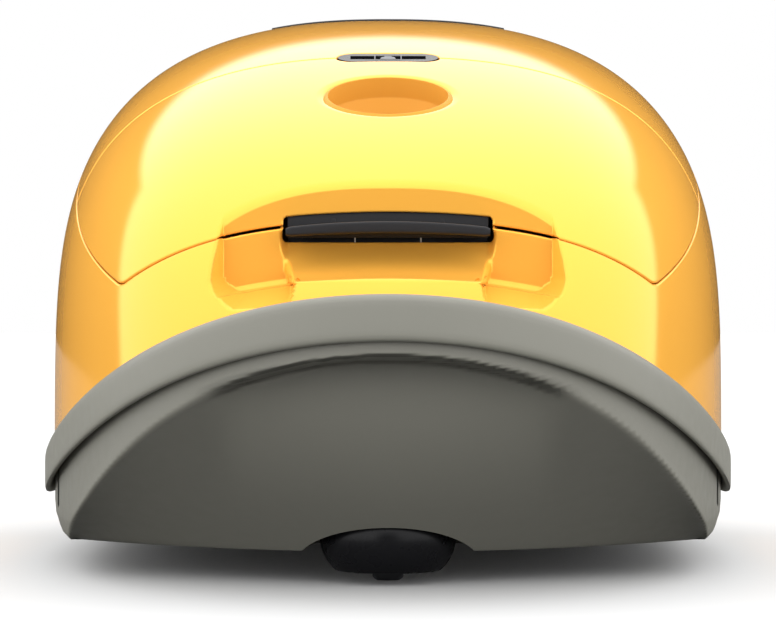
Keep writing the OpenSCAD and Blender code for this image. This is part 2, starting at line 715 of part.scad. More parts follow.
module lever_bracket() color(black) at(lever_s, 0, lever_z) for (e = [-1, 1])
    translate([e * 30 - 2, 0, 0]) difference() {
        translate([0, -5, -5]) cube([4, 10, 9]);
        translate([-1, 0, 0]) rotate([0, 90, 0]) cylinder(h = 6, r = 2 + run_fit, $fn = 40);
    }

// Push bar in the nose, with the hook that holds the lid down.
module release_lever() color(black) at(lever_s, 0, lever_z) {
    translate([-lever_half_w, -26, -4.2]) cube([2 * lever_half_w, 14, 4.6]);
    translate([-26, -13, -4.2]) cube([52, 12, 4]);
    translate([-26, -3, -4]) cube([52, 6, 7]);
    translate([-12, -3, -14]) cube([24, 3, 11]);
    translate([-12, -1, -14]) cube([24, 3.6, 3]);
    for (e = [-1, 1]) translate([e * 30 - 4.5, 0, 0]) rotate([0, 90, 0]) cylinder(h = 9, r = 2, $fn = 40);
}

module window_frame() at(split_s, 0, window_z) rotate([window_lean, 0, 0]) children();

module indicator_window() color([0.1, 0.1, 0.12]) window_frame() linear_extrude(1.4) window_outline();

module indicator_housing() color(black) window_frame() translate([0, 0, -14]) difference() {
    linear_extrude(13.8) window_outline();
    translate([-15.5, -3.2, 6]) cube([31, 6.4, 10]);
}

module indicator_flag() color("#c8443a") window_frame() translate([-15, -2.8, -7.7]) cube([13, 5.6, 5]);

module motor_leads() color("#8a2f2f") for (x = [-14, 14]) {
    at(306, x, 150) cylinder(h = 30, r = 1.6, $fn = 24);
    at(306, x, 180) sphere(1.6, $fn = 24);
    at(306, x, 180) rotate([-90, 0, 0]) cylinder(h = 90, r = 1.6, $fn = 24);
    at(306, x, 150) sphere(1.6, $fn = 24);
}

lower_housing();
side_housing();
control_cover();
bumper();
dust_chamber();
chamber_seal();
bag_holder();
bag_collar();
dust_bag();
motor_filter();
filter_frame();
motor_mounts();
fan_housing();
motor_frame();
stator_core();
field_coils();
carbon_brushes();
motor_bearings();
exhaust_filter();
cord_outlet();
carry_handle();
reel_base();
circuit_board();
power_switch();
dial_control();
housing_screws();
wheel_axles();
castor_mount();
parking_socket();
hinge_bracket();
motor_leads();
indicator_window();
indicator_housing();
indicator_flag();
dust_lid();
hose_socket();
socket_seal();
hinge_arms();
lever_bracket();
release_lever();
castor_fork();
castor_axle();
castor_wheel();
left_wheel();
left_tyre();
left_hub_cap();
right_wheel();
right_tyre();
right_hub_cap();
rotor_shaft();
impeller();
armature();
commutator();
reel_drum();
reel_spring();
brake_lever();
power_pedal();
rewind_pedal();
power_dial();
exhaust_cover();
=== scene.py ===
import math

import bmesh
import bpy
import numpy as np
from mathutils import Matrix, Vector


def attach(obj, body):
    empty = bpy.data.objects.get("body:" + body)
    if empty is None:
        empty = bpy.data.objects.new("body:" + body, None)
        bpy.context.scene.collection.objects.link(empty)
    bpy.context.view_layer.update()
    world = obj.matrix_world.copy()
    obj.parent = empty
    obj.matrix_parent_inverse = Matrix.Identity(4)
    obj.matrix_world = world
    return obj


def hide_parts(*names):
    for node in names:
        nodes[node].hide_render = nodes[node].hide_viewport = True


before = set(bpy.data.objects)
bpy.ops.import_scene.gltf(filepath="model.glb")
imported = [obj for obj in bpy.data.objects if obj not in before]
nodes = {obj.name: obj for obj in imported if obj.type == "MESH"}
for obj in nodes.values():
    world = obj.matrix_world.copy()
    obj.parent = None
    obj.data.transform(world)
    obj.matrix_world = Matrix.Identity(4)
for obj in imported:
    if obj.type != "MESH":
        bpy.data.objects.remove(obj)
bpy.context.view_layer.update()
length = 476.0  # nose to tail in mm; s runs from 0 at the nose, y = s - length / 2


# Finishes

def startMaterial(name):
    material = bpy.data.materials.new(name)
    material.use_nodes = True
    tree = material.node_tree
    shader = tree.nodes["Principled BSDF"]
    place = tree.nodes.new("ShaderNodeTexCoord")
    return material, tree, shader, place.outputs["Object"]


def addNoise(tree, source, scale, detail=2.0, rough=0.5):
    noise = tree.nodes.new("ShaderNodeTexNoise")
    noise.inputs["Scale"].default_value = scale
    noise.inputs["Detail"].default_value = detail
    noise.inputs["Roughness"].default_value = rough
    tree.links.new(source, noise.inputs["Vector"])
    return noise.outputs["Fac"]


def addRange(tree, source, fromLow, fromHigh, low, high):
    ramp = tree.nodes.new("ShaderNodeMapRange")
    for key, value in (("From Min", fromLow), ("From Max", fromHigh), ("To Min", low), ("To Max", high)):
        ramp.inputs[key].default_value = value
    tree.links.new(source, ramp.inputs["Value"])
    return ramp.outputs["Result"]


def addBump(tree, shader, source, strength, distance):
    bump = tree.nodes.new("ShaderNodeBump")
    bump.inputs["Strength"].default_value = strength
    bump.inputs["Distance"].default_value = distance
    tree.links.new(source, bump.inputs["Height"])
    tree.links.new(bump.outputs["Normal"], shader.inputs["Normal"])


def addTint(tree, shader, source, dark, light):
    mix = tree.nodes.new("ShaderNodeMix")
    mix.data_type = "RGBA"
    mix.inputs[6].default_value = (*dark, 1)
    mix.inputs[7].default_value = (*light, 1)
    tree.links.new(source, mix.inputs[0])
    tree.links.new(mix.outputs[2], shader.inputs["Base Color"])


# A moulded finish: a little colour drift, a change of shine and a fine surface grain.
def moulded(name, colour, rough, metal=0.0, drift=0.03, grain=2500.0, grainDepth=0.00002, grainStrength=0.1,
            specular=0.5, coat=0.0):
    material, tree, shader, at = startMaterial(name)
    cloud = addNoise(tree, at, 9.0, 3.0)
    addTint(tree, shader, cloud, [c * (1 - drift) for c in colour], [min(1, c * (1 + drift)) for c in colour])
    fine = addNoise(tree, at, 160.0, 2.0)
    tree.links.new(addRange(tree, fine, 0.3, 0.7, rough * 0.92, rough * 1.08), shader.inputs["Roughness"])
    addBump(tree, shader, addNoise(tree, at, grain, 1.0), grainStrength, grainDepth)
    shader.inputs["Metallic"].default_value = metal
    shader.inputs["Specular IOR Level"].default_value = specular
    shader.inputs["Coat Weight"].default_value = coat
    shader.inputs["Coat Roughness"].default_value = 0.05
    return material


finishTable = {
    "yellowGloss": dict(colour=(0.93, 0.45, 0.064), rough=0.09, metal=0.32, drift=0.012, grain=420,
        grainDepth=0.00003, grainStrength=0.02, specular=0.1),
    # The base is the same plastic as the bumper's lightGrey, made a little darker: painted shade on the
    # downward-facing base and scoop
    "baseGreyPaintedShade": dict(colour=(0.17, 0.167, 0.142), rough=0.5, grain=1500, grainDepth=0.00005,
        grainStrength=0.22, specular=0.35),
    "lightGrey": dict(colour=(0.19, 0.187, 0.158), rough=0.46, grain=1500, grainDepth=0.00005,
        grainStrength=0.22),
    "darkGrey": dict(colour=(0.125, 0.122, 0.103), rough=0.55, grain=1300, grainDepth=0.00006,
        grainStrength=0.3),
    # The body yellow made darker: painted shade for the inside walls of the hose socket
    "socketPaintedShadeYellow": dict(colour=(0.6, 0.27, 0.036), rough=0.45, grain=700, specular=0.12),
    "blackGloss": dict(colour=(0.007, 0.007, 0.008), rough=0.28, grain=900, specular=0.15),
    "blackMatte": dict(colour=(0.013, 0.013, 0.015), rough=0.5, specular=0.25, grain=1400,
        grainDepth=0.00005, grainStrength=0.25),
    "softRubber": dict(colour=(0.016, 0.016, 0.017), rough=0.62, grain=1700, grainDepth=0.00006,
        grainStrength=0.3, specular=0.35),
    "castorTread": dict(colour=(0.035, 0.036, 0.04), rough=0.5, grain=1500, grainDepth=0.00005,
        grainStrength=0.25),
    "turnedSteel": dict(colour=(0.62, 0.63, 0.65), rough=0.3, metal=1.0, grain=900),
    "stackedIron": dict(colour=(0.33, 0.34, 0.37), rough=0.45, metal=0.9, grain=700, grainStrength=0.3),
    "copperWire": dict(colour=(0.62, 0.29, 0.12), rough=0.35, metal=0.9, grain=800, grainStrength=0.3),
    "pressedCarbon": dict(colour=(0.03, 0.03, 0.032), rough=0.7, grain=1800, grainStrength=0.4),
    "pressedCard": dict(colour=(0.46, 0.33, 0.18), rough=0.8, drift=0.12, grain=600, grainDepth=0.0001,
        grainStrength=0.5),
    "bagFleece": dict(colour=(0.72, 0.69, 0.6), rough=0.9, drift=0.06, grain=900, grainDepth=0.00025,
        grainStrength=0.7, specular=0.2),
    "filterFleece": dict(colour=(0.78, 0.78, 0.74), rough=0.9, drift=0.05, grain=1100, grainDepth=0.0002,
        grainStrength=0.6, specular=0.2),
    "flagRed": dict(colour=(0.55, 0.05, 0.03), rough=0.25),
    "boardGreen": dict(colour=(0.03, 0.16, 0.06), rough=0.35, drift=0.1, grain=500, grainStrength=0.2),
    "signGrey": dict(colour=(0.2, 0.2, 0.21), rough=0.6, specular=0.1),
    "smokedWindow": dict(colour=(0.003, 0.003, 0.004), rough=0.45, drift=0.0, specular=0.0),
}
finishes = {name: moulded(name, **values) for name, values in finishTable.items()}
print("finishes made:", len(finishes))


def place(piece, body, slotName, *replaced):
    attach(piece, body)
    if replaced:
        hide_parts(*replaced)
    return piece


# The body's surface: U counts rows from nose to tail, V counts columns from the top centre

bodyForm = {"noseS": 4.0, "halfWidth": 144.0, "frontRun": 300.0, "frontPower": 2.5, "tailStart": 306.0,
            "tailPower": 2.6, "springZ": 22.5, "sidePower": 2.44, "topPower": 4.9,
            "fineSpacing": 1.35, "coarseSpacing": 2.8, "fineUntil": 75.0, "columnSpacing": 2.1, "wall": 2.3}
riseS, riseZ = (4, 4, 230, 355), (104, 168, 239.4, 239.4)
fallS, fallZ = (355, 425, 476, 476), (239.4, 239.4, 200, 100)


def bezier(points, t):
    a, b, c, d = points
    return (1 - t) ** 3 * a + 3 * (1 - t) ** 2 * t * b + 3 * (1 - t) * t * t * c + t ** 3 * d


def topLine(u):
    front, t = u < 1, np.where(u < 1, u, u - 1)
    return (np.where(front, bezier(riseS, t), bezier(fallS, t)),
            np.where(front, bezier(riseZ, t), bezier(fallZ, t)))


def halfWidth(s):
    f = bodyForm
    front = f["halfWidth"] * (1 - np.clip(1 - (s - f["noseS"]) / f["frontRun"], 0, 1) ** f["frontPower"]) ** (
        1 / f["frontPower"])
    tail = f["halfWidth"] * (1 - np.clip((s - f["tailStart"]) / (length - f["tailStart"]), 0, 1)
                             ** f["tailPower"]) ** (1 / f["tailPower"])
    return np.where(s < f["noseS"] + f["frontRun"], front, tail)


rowU = np.concatenate([np.linspace(0, 1, 6001) ** 1.3, 1 + np.linspace(0, 1, 5001)[1:]])
rowS, rowZ = topLine(rowU)
rowStep = np.sqrt(np.diff(rowS) ** 2 + np.diff(rowZ) ** 2 + np.diff(halfWidth(rowS)) ** 2)
rowStep /= np.where(rowS[1:] < bodyForm["fineUntil"], bodyForm["fineSpacing"], bodyForm["coarseSpacing"])
rowCount = np.concatenate([[0], np.cumsum(rowStep)])
peakZ = 239.4
springZ = bodyForm["springZ"]
sideExponent, topExponent = 2 / bodyForm["sidePower"], 2 / bodyForm["topPower"]
quarter = np.pi / 2
columnC = quarter * (1 - np.linspace(1, 0, 12001) ** 3.2)
columnX = 144 * np.sin(columnC) ** sideExponent
columnZ = springZ + (peakZ - springZ) * np.clip(np.cos(columnC), 0, 1) ** topExponent
columnC, columnX, columnZ = columnC[columnZ > 24], columnX[columnZ > 24], columnZ[columnZ > 24]
columnCount = np.concatenate([[0], np.cumsum(np.hypot(np.diff(columnX), np.diff(columnZ)))
                              / bodyForm["columnSpacing"]])


def bodyPoint(uv):
    u = np.interp(uv[:, 0], rowCount, rowU)
    c = np.interp(np.abs(uv[:, 1]), columnCount, columnC)
    s, top = topLine(u)
    w = halfWidth(s)
    x = np.sign(uv[:, 1]) * w * np.sin(c) ** sideExponent
    z = springZ + (top - springZ) * np.clip(np.cos(c), 0, 1) ** topExponent
    return np.stack([x, s, z], 1)


def bodyTop(x, s):
    t = np.interp(s, rowS, rowU)
    top = topLine(t)[1]
    rest = np.clip(1 - (np.abs(x) / halfWidth(s)) ** bodyForm["sidePower"], 0, 1)
    return springZ + (top - springZ) * rest ** (1 / bodyForm["topPower"])


def smoothMax(a, b, soft):
    h = np.clip(0.5 + 0.5 * (a - b) / soft, 0, 1)
    return b + (a - b) * h + soft * h * (1 - h)


def smoothMin(a, b, soft):
    return -smoothMax(-a, -b, soft)


def smoothStep(a, b, v):
    t = np.clip((v - a) / (b - a), 0, 1)
    return t * t * (3 - 2 * t)


# Lines on the body: each gives a distance in mm, above 0 on the side that is kept

seams = {"frontZ": 139.0, "bow": 0.00125, "drop": 12.4, "cornerX": 104.6, "splitS": 177.0, "lidGap": 0.28,
         "coverGap": 0.3, "cornerRound": 2.6}
sideTableS = np.arange(-40.0, 560.0, 1.0)
sideTableZ = np.interp(sideTableS, [-40, 226, 300, 360, 430, 560], [80.7, 165.0, 178, 176, 166, 141])
sideTableZ = np.convolve(np.pad(sideTableZ, 20, "edge"), np.ones(41) / 41, "valid")
sideTableZ[:220] = 113 + 0.317 * (sideTableS[:220] - 62)


def frontSeam(x):
    return seams["frontZ"] - seams["bow"] * x * x - seams["drop"] * (x / seams["cornerX"]) ** 4


def sideSeam(s):
    return np.interp(s, sideTableS, sideTableZ)


def bumperLine(x, z):
    return z - 0.00222 * x * x - 4.7e-8 * x ** 4


def roundBox(x, z, halfX, lowZ, highZ, corner):
    px = np.abs(x) - halfX + corner
    pz = np.abs(z - (lowZ + highZ) / 2) - (highZ - lowZ) / 2 + corner
    return np.hypot(np.maximum(px, 0), np.maximum(pz, 0)) + np.minimum(np.maximum(px, pz), 0) - corner


socket = {"s": 120.0, "z": 191.0, "lean": math.radians(21.2), "mouth": 23.6, "lidHole": 24.3, "dish": 4.6,
          "dishDepth": 0.9}
window = {"s": 177.0, "halfX": 20.8, "halfS": 7.5, "gap": 0.35}
recess = {"halfX": 60.5, "lowZ": 117.7, "lowBow": 0.00178, "backS": 40.5, "lean": 0.05, "scoopTop": 39.0,
          "scoopLow": 34.5, "scoopBack": 47.0, "scoopFront": 8.0, "seamZ": 134.0, "edge": 2.8,
          "corner": 9.0, "sideFall": 2.4, "lowFall": 3.2, "cornerFall": 2.6}
slotForm = {"halfX": 38.6, "topZ": 142.5, "lowZ": 131.5}
wheelForm = {"s": 375.0, "z": 52.0, "arch": 57.0}
gripForm = {"frontS": 318.0, "backS": 378.0, "halfX": 54.0, "corner": 14.0, "floorZ": 202.0,
            "floorRound": 4.0}
pedalForm = {"inX": 36.0, "outX": 82.0, "frontS": 388.0, "backS": 421.0, "corner": 6.0}
dialForm = {"s": 403.0, "z": 231.6, "lean": math.radians(19.6), "hole": 17.7}
ventForm = {"halfX": 56.0, "lowZ": 118.0, "highZ": 186.0}


def socketRadius(p):
    q = p - np.array([0, socket["s"], socket["z"]])
    along = -math.sin(socket["lean"]) * q[:, 1] + math.cos(socket["lean"]) * q[:, 2]
    return np.sqrt(np.maximum((q ** 2).sum(1) - along ** 2, 0))


def windowOutline(p):
    halfX, halfS = window["halfX"], window["halfS"]
    px = np.maximum(np.abs(p[:, 0]) - (halfX - halfS), 0)
    return np.hypot(px, p[:, 1] - window["s"]) - halfS


def slotOutline(p):
    top = slotForm["topZ"] - seams["bow"] * p[:, 0] ** 2
    low = slotForm["lowZ"]
    mid, half = (top + low) / 2, (top - low) / 2
    flat = roundBox(p[:, 0], (p[:, 2] - mid) * 1.0, slotForm["halfX"], -half, half, 1.6)
    return np.where(p[:, 1] < 100, flat, 99)


def archOutline(p):
    return np.hypot(p[:, 1] - wheelForm["s"], p[:, 2] - wheelForm["z"]) - wheelForm["arch"]


def ventOutline(p, grow=0.0):
    flat = roundBox(p[:, 0], p[:, 2], ventForm["halfX"] + grow, ventForm["lowZ"] - grow,
                    ventForm["highZ"] + grow, 5)
    return np.where(p[:, 1] > 400, flat, 99)


def gripOutline(p):
    g = gripForm
    return roundBox(p[:, 0], p[:, 1], g["halfX"], g["frontS"], g["backS"], g["corner"])


def pedalOutline(p, side):
    g = pedalForm
    return roundBox(p[:, 0] - side * (g["inX"] + g["outX"]) / 2, p[:, 1], (g["outX"] - g["inX"]) / 2,
                    g["frontS"], g["backS"], g["corner"])


def dialRadius(p):
    q = p - np.array([0, dialForm["s"], dialForm["z"]])
    along = math.sin(dialForm["lean"]) * q[:, 1] + math.cos(dialForm["lean"]) * q[:, 2]
    return np.sqrt(np.maximum((q ** 2).sum(1) - along ** 2, 0))


def inRecess(p):
    return smoothStep(61.5, 59.5, np.abs(p[:, 0])) * (p[:, 1] < 60)


def lidField(p):
    gap = seams["lidGap"] + 0.35 * inRecess(p)
    front = p[:, 2] - frontSeam(p[:, 0]) - gap
    side = p[:, 2] - sideSeam(p[:, 1]) - seams["lidGap"]
    return smoothMin(smoothMin(front, side, seams["cornerRound"]), seams["splitS"] - seams["lidGap"] - p[:,
            1], 0.8)


def housingField(p):
    gap = 0.18 + 0.3 * inRecess(p)
    front = frontSeam(p[:, 0]) - gap - p[:, 2]
    side = sideSeam(p[:, 1]) - 0.18 - p[:, 2]
    return smoothMax(front, side, seams["cornerRound"])


def coverField(p):
    return smoothMin(p[:, 2] - sideSeam(p[:, 1]) - seams["coverGap"],
                     p[:, 1] - seams["splitS"] - seams["lidGap"], 0.8)


# Shapes pressed into the body

def recessBack(x, z):
    r = recess
    low = r["lowZ"] - r["lowBow"] * x * x
    lobe = r["backS"] + r["lean"] * (z - low)
    lobe = np.where(z < low + 3, lobe - 3 + np.sqrt(np.clip(9 - (3 - np.clip(z - low, 0, 3)) ** 2, 0, 9)),
            lobe)
    q = np.clip((z - low) / (r["seamZ"] - low), 0, 1.2)
    scoop = r["scoopFront"] + (r["scoopBack"] - r["scoopFront"]) * (1 - np.abs(1 - q) ** 2.6)
    edgeX = r["scoopLow"] + (r["scoopTop"] - r["scoopLow"]) * np.clip(q, 0, 1) ** 0.5
    inScoop = smoothStep(edgeX + 1.2, edgeX - 2.2, np.abs(x)) * smoothStep(136.0, 134.0, z)
    back = lobe + (scoop - lobe) * inScoop
    # outside the outline the surface falls away steeply, so the soft maximum leaves the body alone
    side = r["halfX"] - 0.9 * smoothStep(low + 8, low - 1, z)
    out = np.maximum(np.abs(x) - side, 0) * r["sideFall"] + np.maximum(low - z, 0) * r["lowFall"]
    corner = np.hypot(np.maximum(np.abs(x) - side + r["corner"], 0),
                      np.maximum(low + r["corner"] - z, 0)) - r["corner"]
    out = np.maximum(out, np.maximum(corner, 0) * r["cornerFall"])
    return back - out


def pressed(p):
    x, s, z = p.T
    near = s < 70
    back = recessBack(x, z)
    moved = np.where(near, smoothMax(s, back, recess["edge"]), s)
    moved = np.where(near & (s - back > recess["edge"]), s, moved)
    return np.stack([x, moved, z], 1)


def normalOf(point, uv, step=0.04):
    du, dv = np.array([step, 0.0]), np.array([0.0, step])
    n = np.cross(point(uv + dv) - point(uv - dv), point(uv + du) - point(uv - du))
    size = np.linalg.norm(n, axis=1, keepdims=True)
    return np.where(size > 1e-9, n / np.maximum(size, 1e-9), [0.0, -1.0, 0.0])


def edgeDrop(d, radius):
    near = np.clip(d, 0.04 * radius, radius)
    return (radius - np.sqrt(np.maximum(radius ** 2 - (radius - near) ** 2, 0))
            + np.maximum(0.04 * radius - d, 0) * 2.5)


# The pressed body, with its edges rounded over and a shallow dish round the hose hole.
def shellPlacer(fields, radius=0.7, dish=False, lift=0.0):
    def base(uv):
        return pressed(bodyPoint(uv))

    def placed(uv):
        p = bodyPoint(uv)
        n = normalOf(base, uv)
        drop = np.zeros(len(uv))
        for field in fields:
            drop = np.maximum(drop, edgeDrop(field(p), radius))
        if dish:
            r = socketRadius(p)
            out = socket["lidHole"] + socket["dish"]
            drop = drop + socket["dishDepth"] * smoothStep(out, socket["lidHole"] - 1.0, r) \
                + edgeDrop(r - socket["lidHole"], 2.2)
        return pressed(p) - n * (drop - lift)[:, None]
    return base, placed


# Cutting a sheet along a line

def cutSheet(uv, tris, pointAt, field, level=0.0, both=False):
    f = field(pointAt(uv)) - level
    f[np.abs(f) < 2e-3] = 0
    side = np.sign(f)
    corner = side[tris]
    crossing = (corner.max(1) > 0) & (corner.min(1) < 0)
    keptTris = [tris[~crossing & (corner.max(1) > 0)]]
    if both:
        keptTris.append(tris[~crossing & (corner.max(1) <= 0)])
    cut = tris[crossing]
    edges = np.sort(np.concatenate([cut[:, [0, 1]], cut[:, [1, 2]], cut[:, [2, 0]]]), 1)
    edges = np.unique(edges[side[edges[:, 0]] * side[edges[:, 1]] < 0], axis=0)
    if len(edges) == 0:
        return uv, np.concatenate(keptTris)
    a, b = uv[edges[:, 0]].copy(), uv[edges[:, 1]].copy()
    fa, fb = f[edges[:, 0]].copy(), f[edges[:, 1]].copy()
    for _ in range(6):
        t = np.clip(fa / (fa - fb), 0.02, 0.98)[:, None]
        m = a + (b - a) * t
        fm = field(pointAt(m)) - level
        same = np.sign(fm) == np.sign(fa)
        a[same], fa[same] = m[same], fm[same]
        b[~same], fb[~same] = m[~same], fm[~same]
        fb = np.where(fb == fa, fb + 1e-12, fb)
    index = {(int(i), int(j)): len(uv) + k for k, (i, j) in enumerate(edges)}
    uv = np.concatenate([uv, m])
    above, below = [], []
    for tri in cut.tolist():
        signs = [side[i] for i in tri]
        high, low = [], []
        for k in range(3):
            i, j = tri[k], tri[(k + 1) % 3]
            si, sj = signs[k], signs[(k + 1) % 3]
            if si >= 0:
                high.append(i)
            if si <= 0:
                low.append(i)
            if si * sj < 0:
                n = index[(min(i, j), max(i, j))]
                high.append(n)
                low.append(n)
        for ring, out in ((high, above), (low, below)):
            for k in range(1, len(ring) - 1):
                out.append((ring[0], ring[k], ring[k + 1]))
    keptTris.append(np.array(above, int).reshape(-1, 3))
    if both:
        keptTris.append(np.array(below, int).reshape(-1, 3))
    return uv, np.concatenate(keptTris)


def tidySheet(uv, tris):
    used = np.unique(tris)
    new = -np.ones(len(uv), int)
    new[used] = np.arange(len(used))
    return uv[used], new[tris]


def gridSheet(rows, columns):
    uv = np.array([(u, v) for u in rows for v in columns], float)
    n = len(columns)
    i = (np.arange(len(rows) - 1)[:, None] * n + np.arange(n - 1)[None, :]).ravel()
    return uv, np.concatenate([np.stack([i, i + n, i + 1], 1), np.stack([i + 1, i + n, i + n + 1], 1)])


def meshObject(name, verts, faces, material, loopNormals=None, smooth=True):
    mesh = bpy.data.meshes.new(name)
    verts = np.asarray(verts, float) * 0.001 - np.array([0, length / 2000, 0])
    mesh.from_pydata(verts.tolist(), [], faces)
    mesh.polygons.foreach_set("use_smooth", [smooth] * len(mesh.polygons))
    mesh.materials.append(finishes[material] if isinstance(material, str) else material)
    if loopNormals is not None:
        mesh.normals_split_custom_set(loopNormals)
    mesh.update()
    thing = bpy.data.objects.new(name, mesh)
    bpy.context.scene.collection.objects.link(thing)
    return thing


# A closed wall from a cut sheet: outer face, inner face and the rim between them. Where upright is 1 the
# wall's thickness runs straight down, so that a pressed pedal slides past it.
def wallObject(name, uv, tris, base, placed, wall, material, upright=None):
    uv, tris = tidySheet(uv, tris)
    outer, outerN, plainN = placed(uv), normalOf(placed, uv, 0.02), normalOf(base, uv)
    mean = plainN[tris].mean(1)
    flat = np.cross(outer[tris[:, 1]] - outer[tris[:, 0]], outer[tris[:, 2]] - outer[tris[:, 0]])
    if (flat * mean).sum() < 0:
        tris = tris[:, ::-1]
    lean = (outerN * plainN).sum(1) < 0
    outerN[lean] *= -1
    depth = plainN
    if upright is not None:
        weight = upright(base(uv))[:, None]
        depth = plainN * (1 - weight) + np.array([0.0, 0.0, 1.0]) * weight
    inner = base(uv) - depth * wall
    n = len(uv)
    directed = np.concatenate([tris[:, [0, 1]], tris[:, [1, 2]], tris[:, [2, 0]]])
    keys = np.sort(directed, 1)
    _, first, count = np.unique(keys[:, 0] * (n + 1) + keys[:, 1], return_index=True, return_counts=True)
    rim = directed[first[count == 1]]
    faces = tris.tolist() + (tris[:, ::-1] + n).tolist() + [[b, a, a + n, b + n] for a, b in rim.tolist()]
    allVerts = np.concatenate([outer, inner])
    quads = np.stack([rim[:, 1], rim[:, 0], rim[:, 0] + n, rim[:, 1] + n], 1)
    rimN = np.cross(allVerts[quads[:, 2]] - allVerts[quads[:, 0]], allVerts[quads[:,
            3]] - allVerts[quads[:, 1]])
    rimN /= np.maximum(np.linalg.norm(rimN, axis=1, keepdims=True), 1e-9)
    loops = np.concatenate([outerN[tris].reshape(-1, 3), -plainN[tris[:, ::-1]].reshape(-1, 3),
                            np.repeat(rimN, 4, 0)])
    return meshObject(name, allVerts, faces, material, loops.tolist())


edgeRows = (0.12, 0.3, 0.55, 0.9)
allRows = np.arange(0, int(rowCount[-1]) + 1) * (rowCount[-1] / int(rowCount[-1]))
halfColumns = np.arange(0, int(columnCount[-1]) + 1) * (columnCount[-1] / int(columnCount[-1]))
allColumns = np.concatenate([-halfColumns[:0:-1], halfColumns])
bodySheet = gridSheet(allRows, allColumns)


def part(uv, tris, fields, rows=edgeRows):
    for field in fields:
        uv, tris = cutSheet(uv, tris, bodyPoint, field)
        uv, tris = tidySheet(uv, tris)
    for field in fields:
        for level in rows:
            uv, tris = cutSheet(uv, tris, bodyPoint, field, level, both=True)
    return tidySheet(uv, tris)


def recessRows(uv, tris):
    lines = [(lambda p, e=e: np.where(p[:, 1] < 70, e - np.abs(p[:, 0]), 99)) for e in
             (58.5, 59.5, 60.2, 60.8, 61.6, 40.4, 39, 37.8, 36.4, 35)]
    lines += [(lambda p, e=e: np.where((p[:, 1] < 70) & (np.abs(p[:, 0]) < 64),
                                       p[:, 2] - recess["lowZ"] + recess["lowBow"] * p[:, 0] ** 2 - e, 99))
              for e in (-0.6, 0, 0.3, 0.7, 1.2, 1.8, 2.5)]
    for line in lines:
        uv, tris = cutSheet(uv, tris, bodyPoint, line, both=True)
    return uv, tris


print("body sheet:", len(bodySheet[0]), "points")

uv, tris = recessRows(*bodySheet)


def windowHole(p):
    return windowOutline(p) - window["gap"]


def hoseHole(p):
    return socketRadius(p) - socket["lidHole"]


lidFields = [lidField, slotOutline, windowHole]
uvLid, trisLid = part(uv, tris, lidFields + [hoseHole])
for level in (1.6, 2.2, 3.2, 4.6):
    uvLid, trisLid = cutSheet(uvLid, trisLid, bodyPoint, hoseHole, level, both=True)
lid = wallObject("lidShell", uvLid, trisLid, *shellPlacer(lidFields, dish=True), bodyForm["wall"],
                 "yellowGloss")
place(lid, "lid", "yellow_gloss", "dust_lid")

sideFields = [housingField, slotOutline, archOutline, lambda p: ventOutline(p, 0.8),
              lambda p: p[:, 2] - bumperLine(p[:, 0], 104.2)]
uvSide, trisSide = part(uv, tris, sideFields)
side = wallObject("sideShell", uvSide, trisSide, *shellPlacer(sideFields[:4]), bodyForm["wall"],
        "yellowGloss")
place(side, "chassis", "yellow_gloss", "side_housing")

coverFields = [coverField, windowHole, gripOutline,
               lambda p: pedalOutline(p, 1) - 0.6, lambda p: pedalOutline(p, -1) - 0.6,
               lambda p: dialRadius(p) - dialForm["hole"], lambda p: ventOutline(p, 0.8)]
uvRear, trisRear = part(*bodySheet, coverFields)


def nearPedals(p):
    edge = np.minimum(pedalOutline(p, 1), pedalOutline(p, -1))
    return np.where(p[:, 2] > 190, smoothStep(6.0, 2.0, edge), 0.0)


rear = wallObject("rearShell", uvRear, trisRear, *shellPlacer(coverFields), bodyForm["wall"], "yellowGloss",
                  nearPedals)
place(rear, "chassis", "yellow_gloss", "control_cover")
print("shells:", len(lid.data.polygons), len(side.data.polygons), len(rear.data.polygons))


# Bumper: a soft band that follows the plan of the body

bumperForm = {"topZ": 112.2, "height": 17.0, "endS": 315.0, "points": 260}


def planPoint(s, off=0.0):
    w = halfWidth(s)
    ds = 0.02
    slope = np.stack([halfWidth(s + ds) - halfWidth(np.maximum(s - ds, 4)), s + ds - np.maximum(s - ds,
            4)], -1)
    normal = np.stack([slope[..., 1], -slope[..., 0]], -1)
    normal /= np.linalg.norm(normal, axis=-1, keepdims=True)
    return w + normal[..., 0] * off, s + normal[..., 1] * off


def planRun(endS, count):
    q = np.linspace(0, 1, 4001)
    s = 4.0001 + (endS - 4.0001) * q ** 3
    w = halfWidth(s)
    run = np.concatenate([[0], np.cumsum(np.hypot(np.diff(s), np.diff(w)))])
    half = np.interp(np.linspace(0, run[-1], count // 2 + 1), run, s)
    return np.concatenate([half[:0:-1], half]), np.concatenate([-np.ones(count // 2),
            np.ones(count // 2 + 1)])


def makeBumper():
    b = bumperForm
    s, side = planRun(b["endS"], b["points"])
    # profile as (out, down): back top, rounded crest, face, rounded foot, back foot
    profile = [(0.3, 0.9), (0.9, 0.25), (1.7, 0.0), (2.5, 0.15), (3.2, 0.55), (3.7, 1.2), (3.95, 2.2),
            (4.0, 4.0),
               (4.0, 7.5), (4.0, 11.0), (3.95, 12.8), (3.7, 13.8), (3.2, 14.45), (2.5, 14.85), (1.7, 15.0),
               (0.9, 14.75), (0.3, 14.1), (0.3, 7.5)]
    rings = []
    for out, down in profile:
        x, y = planPoint(s, out)
        x = np.where(np.arange(len(s)) == len(s) // 2, 0.0, x)
        rings.append(np.stack([side * x, y, bumperLine(x, b["topZ"] - down * b["height"] / 15)], 1))
    return loft("bumperBand", np.stack(rings, 1), "lightGrey", 50)


